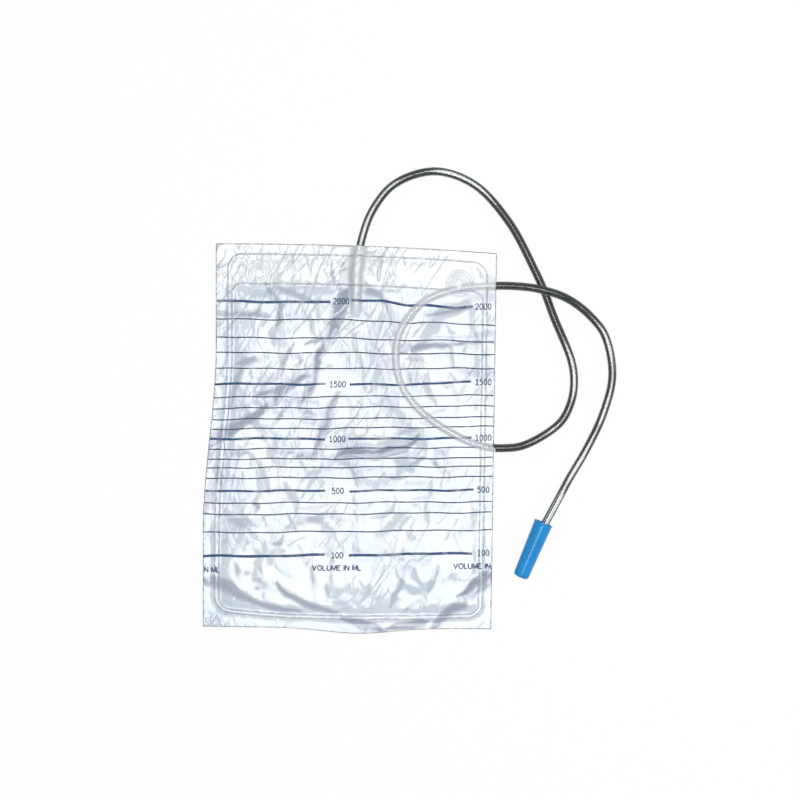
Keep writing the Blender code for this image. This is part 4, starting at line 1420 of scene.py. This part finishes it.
def keep_print(name, body, finish):
    """A flat mesh of print as its own thin piece on the sheet."""
    lay_on_sheet(body)
    mesh = bpy.data.meshes.new(name)
    body.to_mesh(mesh)
    body.free()
    mesh.materials.append(finish)
    mesh.shade_smooth()
    made = bpy.data.objects.new(name, mesh)
    bpy.context.scene.collection.objects.link(made)
    skin = made.modifiers.new("ink", "SOLIDIFY")
    skin.thickness = INK_THICKNESS
    skin.offset = 1.0
    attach(made, "bag")
    print(name, len(mesh.polygons), "faces")


thick_lines = bmesh.new()
for number, (_, width, left_part, right_part) in enumerate(THICK_LINES):
    ribbon(thick_lines, left_part, width, number)
    ribbon(thick_lines, right_part, width, number + RIGHT_SEED)
keep_print("thick_lines", thick_lines, thick_ink)

thin_lines = bmesh.new()
for number, (left_y, middle_y, right_y) in enumerate(THIN_LINES):
    places = ((-BAG_WIDTH / 2, left_y), (0.0, middle_y), (BAG_WIDTH / 2, right_y))
    ribbon(thin_lines, places, THIN_LINE, number + THIN_SEED)
keep_print("thin_lines", thin_lines, thin_ink)

# %% [markdown]
# The numbers are drawn as a sign writer would, in strokes of one width. A
# font turned into a mesh gives thousands of odd triangles at this size, while
# a stroke is a small ribbon like the lines, and its weight is one number.

# %% Strokes of the characters
def arc(middle, reach, start, end, count=11):
    """Points of an arc from one angle to another, in degrees; reach is its radius both ways."""
    angles = np.radians(np.linspace(start, end, count))
    return [(middle[0] + reach[0] * math.cos(a), middle[1] + reach[1] * math.sin(a)) for a in angles]


RING = arc((0.5, 0.5), (0.5, 0.5), 90.0, 452.0, 25)
# Each character: its width as a share of its height, and its strokes in a box
# that goes from 0 to 1 both ways.
CHARACTERS = {
    "0": (0.50, [RING]),
    "1": (0.50, [[(0.10, 0.78), (0.55, 1.0), (0.55, 0.0)], [(0.10, 0.0), (1.0, 0.0)]]),
    "2": (0.50, [arc((0.5, 0.70), (0.48, 0.30), 170.0, -35.0) + [(0.02, 0.0), (1.0, 0.0)]]),
    "5": (0.50, [[(0.92, 1.0), (0.14, 1.0), (0.08, 0.55)]
                 + arc((0.46, 0.33), (0.52, 0.33), 128.0, -150.0)]),
    "E": (0.62, [[(1.0, 1.0), (0.0, 1.0), (0.0, 0.0), (1.0, 0.0)], [(0.0, 0.52), (0.86, 0.52)]]),
    "I": (0.04, [[(0.5, 1.0), (0.5, 0.0)]]),
    "L": (0.58, [[(0.0, 1.0), (0.0, 0.0), (1.0, 0.0)]]),
    "M": (0.84, [[(0.0, 0.0), (0.0, 1.0), (0.5, 0.12), (1.0, 1.0), (1.0, 0.0)]]),
    "N": (0.72, [[(0.0, 0.0), (0.0, 1.0), (1.0, 0.0), (1.0, 1.0)]]),
    "O": (0.86, [RING]),
    "U": (0.72, [[(0.0, 1.0), (0.0, 0.35)] + arc((0.5, 0.35), (0.5, 0.35), 180.0, 360.0) + [(1.0, 1.0)]]),
    "V": (0.80, [[(0.0, 1.0), (0.5, 0.0), (1.0, 1.0)]]),
}
STROKE_STEP = 0.0005
MITRE_MOST = 1.6
TURNS_BACK = 0.01


def stroke(body, points, width):
    """One stroke as a ribbon that keeps its width round corners."""
    corners = [Vector(p) for p in points]
    path = []
    for a, b in zip(corners, corners[1:]):
        count = max(1, math.ceil((b - a).length / STROKE_STEP))
        path += [a.lerp(b, i / count) for i in range(count)]
    path.append(corners[-1])
    last = None
    for number, point in enumerate(path):
        before = (point - path[number - 1]).normalized() if number else None
        after = (path[number + 1] - point).normalized() if number < len(path) - 1 else None
        before = before or after
        after = after or before
        along = before + after
        along = along.normalized() if along.length > TURNS_BACK else after
        reach = width / 2 / max(along.dot(after), 1.0 / MITRE_MOST)
        out = Vector((-along.y, along.x)) * reach
        row = [body.verts.new((*(point + side * out), 0.0)) for side in (-1.0, 1.0)]
        if last:
            body.faces.new((last[0], row[0], row[1], last[1]))
        last = row


print(len(CHARACTERS), "characters")

# %% Numbers and caption
FIGURE_HEIGHT = 0.0046
FIGURE_STROKE = 0.00075
FIGURE_SPACE = 0.25
FIGURE_RIGHT_X = 0.1086
CAPTION_HEIGHT = 0.0040
CAPTION_STROKE = 0.00080
CAPTION_SPACE = 0.25
WORD_SPACE = 0.50
CAPTION_X = -0.0108
CAPTION_Y = -0.1052
CAPTION_RISE = 0.0015
CAPTION_REPEAT = 0.1149
CAPTION = "VOLUME IN ML"


def set_words(body, words, height, weight, space, x, y):
    """Draws a row of characters centred on (x, y)."""
    pen = 0.0
    drawn = []
    for character in words:
        if character == " ":
            pen += WORD_SPACE
            continue
        width, strokes = CHARACTERS[character]
        for points in strokes:
            drawn.append([(pen + width * px, py - 0.5) for px, py in points])
        pen += width + space
    middle = (pen - space) / 2.0
    for points in drawn:
        stroke(body, [(x + (px - middle) * height, y + py * height) for px, py in points], weight)


words = bmesh.new()
for volume, _, left_part, right_part in THICK_LINES:
    gap_middle = (Vector(left_part[-1]) + Vector(right_part[0])) / 2
    set_words(words, volume, FIGURE_HEIGHT, FIGURE_STROKE, FIGURE_SPACE, *gap_middle)
    set_words(words, volume, FIGURE_HEIGHT, FIGURE_STROKE, FIGURE_SPACE, FIGURE_RIGHT_X, right_part[-1][1])
for repeat in (-1, 0, 1):
    set_words(words, CAPTION, CAPTION_HEIGHT, CAPTION_STROKE, CAPTION_SPACE,
              CAPTION_X + repeat * CAPTION_REPEAT, CAPTION_Y + repeat * CAPTION_RISE)
off_bag = [v for v in words.verts if not on_bag(v.co.x, v.co.y)]
bmesh.ops.delete(words, geom=off_bag, context="VERTS")
keep_print("scale_words", words, word_ink)

# %% [markdown]
# ## The tube
#
# The pipe is clear PVC and bends the light, so that its top shows the lamp,
# its flanks the dark room and its very sides the floor. True refraction of
# such a thin pipe is slow and grainy, so this light and shade are painted as
# stripes, set by which way the wall faces, on see-through walls: a painted
# highlight on top, painted shade on the flanks and painted floor light on the
# very sides. Where the pipe lies on the white film the flanks stay pale but
# for thin lines of painted shade, just beside the bag painted shade makes them
# darkest, and over the connector's stem, in its last part, the stripes are
# painted for the stem inside.

# %% Tube finish
PVC_ROUGHNESS = 0.10
TUBE_ALPHA = 0.70
TUBE_ALPHA_ON_FILM = 0.16
TUBE_PAINTED_HIGHLIGHT = (0.88, 0.93, 0.90)
TUBE_PAINTED_SHADE = (0.018, 0.026, 0.022)
TUBE_PAINTED_SIDE_LIGHT = (0.45, 0.49, 0.47)
TUBE_ON_WHITE = (0.97, 0.98, 0.99)
TUBE_PAINTED_EDGE_SHADE = (0.24, 0.28, 0.36)
# Where the painted stripes lie, by how far the wall faces up, 0 to 1, or for
# STEM_LINE to the right, -1 to 1. The third value of a line is how soft its
# sides are.
TOP_STRIPE = (0.90, 1.0)
STEM_STRIPE = (0.74, 0.84)
STEM_LINE = (-0.42, -0.18, 0.05)
SIDE_STRIPE = (0.27, 0.42)
LINES_ON_FILM = ((-0.2, 0.34, 0.06), (0.66, 0.76, 0.03))
# A slow noise makes the painted highlight on top wider and narrower: its range, and by how much.
STREAK = (0.35, 0.66)
STRIPE_WANDER = (-0.08, 0.035)


def between(nodes, value, low, high, soft):
    """1 where a value lies between two others, 0 outside."""
    rise = remap(nodes, value, low - soft, low + soft)
    fall = remap(nodes, value, high - soft, high + soft, 1.0, 0.0)
    return maths(nodes, "MULTIPLY", rise, fall)


def wall_facing(nodes):
    """How far the pipe's wall faces straight up or down, 0 to 1, and to the right, -1 to 1."""
    parts = nodes.nodes.new("ShaderNodeSeparateXYZ")
    normal = nodes.nodes.new("ShaderNodeTexCoord").outputs["Normal"]
    nodes.links.new(normal, parts.inputs["Vector"])
    return maths(nodes, "ABSOLUTE", parts.outputs["Z"]), parts.outputs["X"]


def tube_finish():
    """The pipe beside the bag, with light and shade painted as stripes on its wall."""
    finish, nodes, shader = new_finish("clear_pvc", PVC_ROUGHNESS, alpha=TUBE_ALPHA)
    up, right = wall_facing(nodes)
    streak = textured(nodes, "ShaderNodeTexNoise", 17.0, Detail=2.0)
    uneven = remap(nodes, streak.outputs["Fac"], *STREAK, *STRIPE_WANDER)
    # A painted highlight where the wall faces up, painted shade on the flanks, darker still just beside
    # the bag.
    lit = maths(nodes, "SUBTRACT", maths(nodes, "ADD", up, uneven), point_value(nodes, "gloom"))
    colour = mix_colour(nodes, remap(nodes, lit, *TOP_STRIPE), TUBE_PAINTED_SHADE, TUBE_PAINTED_HIGHLIGHT)
    # Over the stem the stripes are painted again, with a painted dark line on one side.
    over_stem = mix_colour(nodes, remap(nodes, up, *STEM_STRIPE), TUBE_PAINTED_SHADE, TUBE_PAINTED_HIGHLIGHT)
    over_stem = mix_colour(nodes, between(nodes, right, *STEM_LINE), over_stem, TUBE_PAINTED_SHADE)
    colour = mix_colour(nodes, point_value(nodes, "stem"), colour, over_stem)
    # Painted floor light on the very sides.
    colour = mix_colour(nodes, remap(nodes, up, *SIDE_STRIPE, 1.0, 0.0), colour, TUBE_PAINTED_SIDE_LIGHT)
    nodes.links.new(colour, shader.inputs["Base Color"])
    return finish


def tube_on_film_finish():
    """The pipe over the white film, clear but for thin lines of painted shade at its edges and its bore.
    """
    finish, nodes, shader = new_finish("clear_pvc_on_film", PVC_ROUGHNESS, specular=1.0,
                                       alpha=TUBE_ALPHA_ON_FILM)
    up, _ = wall_facing(nodes)
    # Thin lines of painted shade where the edges and the bore bend the light.
    edge, bore_edge = (between(nodes, up, *line) for line in LINES_ON_FILM)
    lines = maths(nodes, "MAXIMUM", edge, bore_edge)
    colour = mix_colour(nodes, lines, TUBE_ON_WHITE, TUBE_PAINTED_EDGE_SHADE)
    nodes.links.new(colour, shader.inputs["Base Color"])
    return finish


clear_pvc = tube_finish()
clear_pvc_on_film = tube_on_film_finish()
print("tube", clear_pvc.name, clear_pvc_on_film.name)

# %% [markdown]
# The pipe is 6.8 mm across, with a wall of about a millimetre. Its own line as
# a curve with a round bevel gives the outer skin, and Solidify adds the bore.
# The curve is turned into a mesh first, because only a mesh can carry values
# for the finish on its points.

# %% The tube's skin
TUBE_BEVEL = 14

curve = bpy.data.curves.new("tube_line", "CURVE")
curve.dimensions = "3D"
curve.bevel_depth = TUBE_R
curve.bevel_resolution = TUBE_BEVEL
spline = curve.splines.new("POLY")
spline.points.add(len(tube_line) - 1)
for slot, point in zip(spline.points, tube_line):
    slot.co = (*point, 1.0)
line_object = bpy.data.objects.new("tube_line", curve)
bpy.context.scene.collection.objects.link(line_object)
bpy.context.view_layer.update()
graph = bpy.context.evaluated_depsgraph_get()
tube_mesh = bpy.data.meshes.new_from_object(line_object.evaluated_get(graph))
bpy.data.objects.remove(line_object)
tube_mesh.name = "clear_tube"
tube_mesh.materials.clear()
for finish in (clear_pvc, clear_pvc_on_film):
    tube_mesh.materials.append(finish)
tube_mesh.shade_smooth()
print("tube skin", len(tube_mesh.polygons), "faces")

# %% Values along the tube
# gloom is painted shade on the pipe just beside the bag; stem says where the stripes are painted for the
# stem inside.
GLOOM = 0.30
GLOOM_REACH = (0.008, 0.026)
STEM_FADE = 0.0030

places = point_places(tube_mesh)
around = len(places) // TUBE_RINGS
ring = np.arange(len(places)) // around
from_hub = tube_length * (1.0 - ring / (TUBE_RINGS - 1))
inside = edge_distance(places[:, 0], places[:, 1])
past_side = places[:, 0] - right_edge(places[:, 1])
for face in tube_mesh.polygons:
    face.material_index = int(inside[list(face.vertices)].mean() > 0.0)
keep_values(tube_mesh, {
    "gloom": GLOOM * (past_side > 0.0) * (1.0 - smooth(past_side, *GLOOM_REACH)),
    "stem": 1.0 - smooth(from_hub, STEM_LENGTH - STEM_FADE, STEM_LENGTH + STEM_FADE),
})
print("part over the film", int((inside > 0.0).sum()), "of", len(places), "points")

# %% Make the tube
TUBE_WALL = 0.00095

clear_tube = bpy.data.objects.new("clear_tube", tube_mesh)
bpy.context.scene.collection.objects.link(clear_tube)
bore = clear_tube.modifiers.new("bore", "SOLIDIFY")
bore.thickness = TUBE_WALL
bore.offset = -1.0
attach(clear_tube, "bag")
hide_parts("drainage_tube")
print(clear_tube.name, len(tube_mesh.vertices), "points")

# %% [markdown]
# ## Connector and cap
#
# Both are round about their own axes, so each is a profile with a Screw
# modifier, as a lathe would make its mould. Revolved by hand or made from
# cylinders they would take more steps and be harder to change.

# %% Turned pieces
TURN_STEPS = 96
TURN_MERGE = 0.00001


def turned(name, profile, finish, place, along):
    """A solid turned from a closed profile of (radius, height), laid along a line."""
    mesh = bpy.data.meshes.new(name)
    points = [(radius, 0.0, height) for radius, height in profile]
    edges = [(i, (i + 1) % len(points)) for i in range(len(points))]
    if profile[0][0] == 0.0:
        edges = edges[:-1]
    mesh.from_pydata(points, edges, [])
    mesh.materials.append(finish)
    made = bpy.data.objects.new(name, mesh)
    bpy.context.scene.collection.objects.link(made)
    screw = made.modifiers.new("turn", "SCREW")
    screw.angle = 2.0 * math.pi
    screw.steps = TURN_STEPS
    screw.render_steps = TURN_STEPS
    screw.use_merge_vertices = True
    screw.merge_threshold = TURN_MERGE
    screw.use_smooth_shade = True
    made.location = place
    made.rotation_euler = along.to_track_quat("Z", "Y").to_euler()
    return made


print("turned in", TURN_STEPS, "steps")

# %% [markdown]
# The connector is one moulding of natural plastic: a stem that is pushed into
# the pipe and shows through it, a flat hub, and a cone whose steps grip the
# funnel that it is pushed into. A loop over the steps makes the cone. Moulded
# plastic is almost even in colour, so a faint cloud of a second shade and a
# very fine bump are enough.

# %% The connector's profile
STEM_R = 0.0023
LUMEN_R = 0.0015
CONE_BASE_R = 0.0042
CONE_STEPS = 4
STEP_BARB = 0.0004
BARB_TOP = 0.25
BARB_FOOT = 0.20
STEM_CHAMFER = 0.0004


def connector_profile():
    """Outer side from tip to stem end, then back up the lumen."""
    outer = []
    step = (CONE_LENGTH - HUB_THICKNESS) / CONE_STEPS
    for number in range(CONE_STEPS):
        low = CONE_LENGTH - (number + 1) * step
        start = mix(CONE_TIP_R, CONE_BASE_R - STEP_BARB, number / CONE_STEPS)
        end = mix(CONE_TIP_R, CONE_BASE_R - STEP_BARB, (number + 1) / CONE_STEPS)
        outer.append((start, low + step))
        outer.append((end + STEP_BARB, low + BARB_TOP * step))
        outer.append((end, low + BARB_FOOT * step))
    outer += [(CONE_BASE_R - STEP_BARB, HUB_THICKNESS)]
    outer += [(HUB_R, HUB_THICKNESS), (HUB_R, 0.0), (STEM_R, 0.0)]
    outer += [(STEM_R, STEM_CHAMFER - STEM_LENGTH), (STEM_R - STEM_CHAMFER, -STEM_LENGTH)]
    return outer + [(LUMEN_R, -STEM_LENGTH), (LUMEN_R, CONE_LENGTH)]


print(CONE_STEPS, "steps on the cone")

# %% The connector
NATURAL = ((0.80, 0.83, 0.82), (0.86, 0.87, 0.85))
NATURAL_ROUGHNESS = 0.28
FLOW = (0.3, 0.7)
GRAIN = 0.00001


def moulded_finish(name, colour, shade, roughness, specular=0.2):
    """Moulded plastic: an even colour with a faint flow pattern and fine texture."""
    finish, nodes, shader = new_finish(name, roughness, specular=specular)
    flow = textured(nodes, "ShaderNodeTexNoise", 90.0, Detail=2.0)
    blended = mix_colour(nodes, remap(nodes, flow.outputs["Fac"], *FLOW), colour, shade)
    nodes.links.new(blended, shader.inputs["Base Color"])
    grain = textured(nodes, "ShaderNodeTexNoise", 1800.0, Detail=1.0)
    nodes.links.new(bump(nodes, grain.outputs["Fac"], GRAIN), shader.inputs["Normal"])
    return finish


natural = moulded_finish("natural_plastic", *NATURAL, NATURAL_ROUGHNESS)
connector = turned("stepped_connector", connector_profile(), natural, hub, lean)
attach(connector, "bag")
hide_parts("tube_connector")
print("connector at", [round(c, 4) for c in hub])

# %% [markdown]
# The cap is a thin, slightly tapered blue cup with a round closed tip and a
# small lip, and it slides off the connector. Its outside is its bore plus one
# wall, so that both keep in step when a size changes.

# %% The cap
CAP_BLUES = ((0.006, 0.235, 0.590), (0.008, 0.270, 0.650))
CAP_ROUGHNESS = 0.16
CAP_SPECULAR = 0.30
CORNER_STEPS = 7
CAP_TIP_BEND = 0.0026
# Rings this far from both ends of the long side keep its shading straight.
CAP_GUARD = 0.0008
# The lip reaches its full width at this share of its length.
LIP_START = 0.6


def cap_profile():
    """Outer side from the closed tip back to the mouth, then the bore."""
    def outer(depth):
        return bore_radius(depth) + CAP_WALL

    tip_depth = CAP_LENGTH - CAP_TIP_BEND
    tip_r = outer(tip_depth) - CAP_TIP_BEND
    lip_r = outer(0.0) + CAP_LIP
    profile = [(0.0, CAP_LENGTH)]
    profile += arc((tip_r, tip_depth), (CAP_TIP_BEND, CAP_TIP_BEND), 90.0, 0.0, CORNER_STEPS)
    for depth in (tip_depth - CAP_GUARD, CAP_LIP_LENGTH + CAP_GUARD, CAP_LIP_LENGTH):
        profile.append((outer(depth), depth))
    profile.append((lip_r, LIP_START * CAP_LIP_LENGTH))
    profile += arc((lip_r - CAP_LIP, CAP_LIP), (CAP_LIP, CAP_LIP), 0.0, -90.0, CORNER_STEPS)
    bore_end = CAP_LENGTH - CAP_FLOOR
    profile += [(bore_radius(0.0), 0.0), (bore_radius(bore_end), bore_end)]
    return profile + [(0.0, bore_end)]


mouth, cap_along = cap_frame()
blue = moulded_finish("blue_plastic", *CAP_BLUES, CAP_ROUGHNESS, CAP_SPECULAR)
cap = turned("blue_cap", cap_profile(), blue, mouth, cap_along)
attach(cap, "cap")
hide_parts("connector_cap")
print("cap", CAP_LENGTH, "m long")
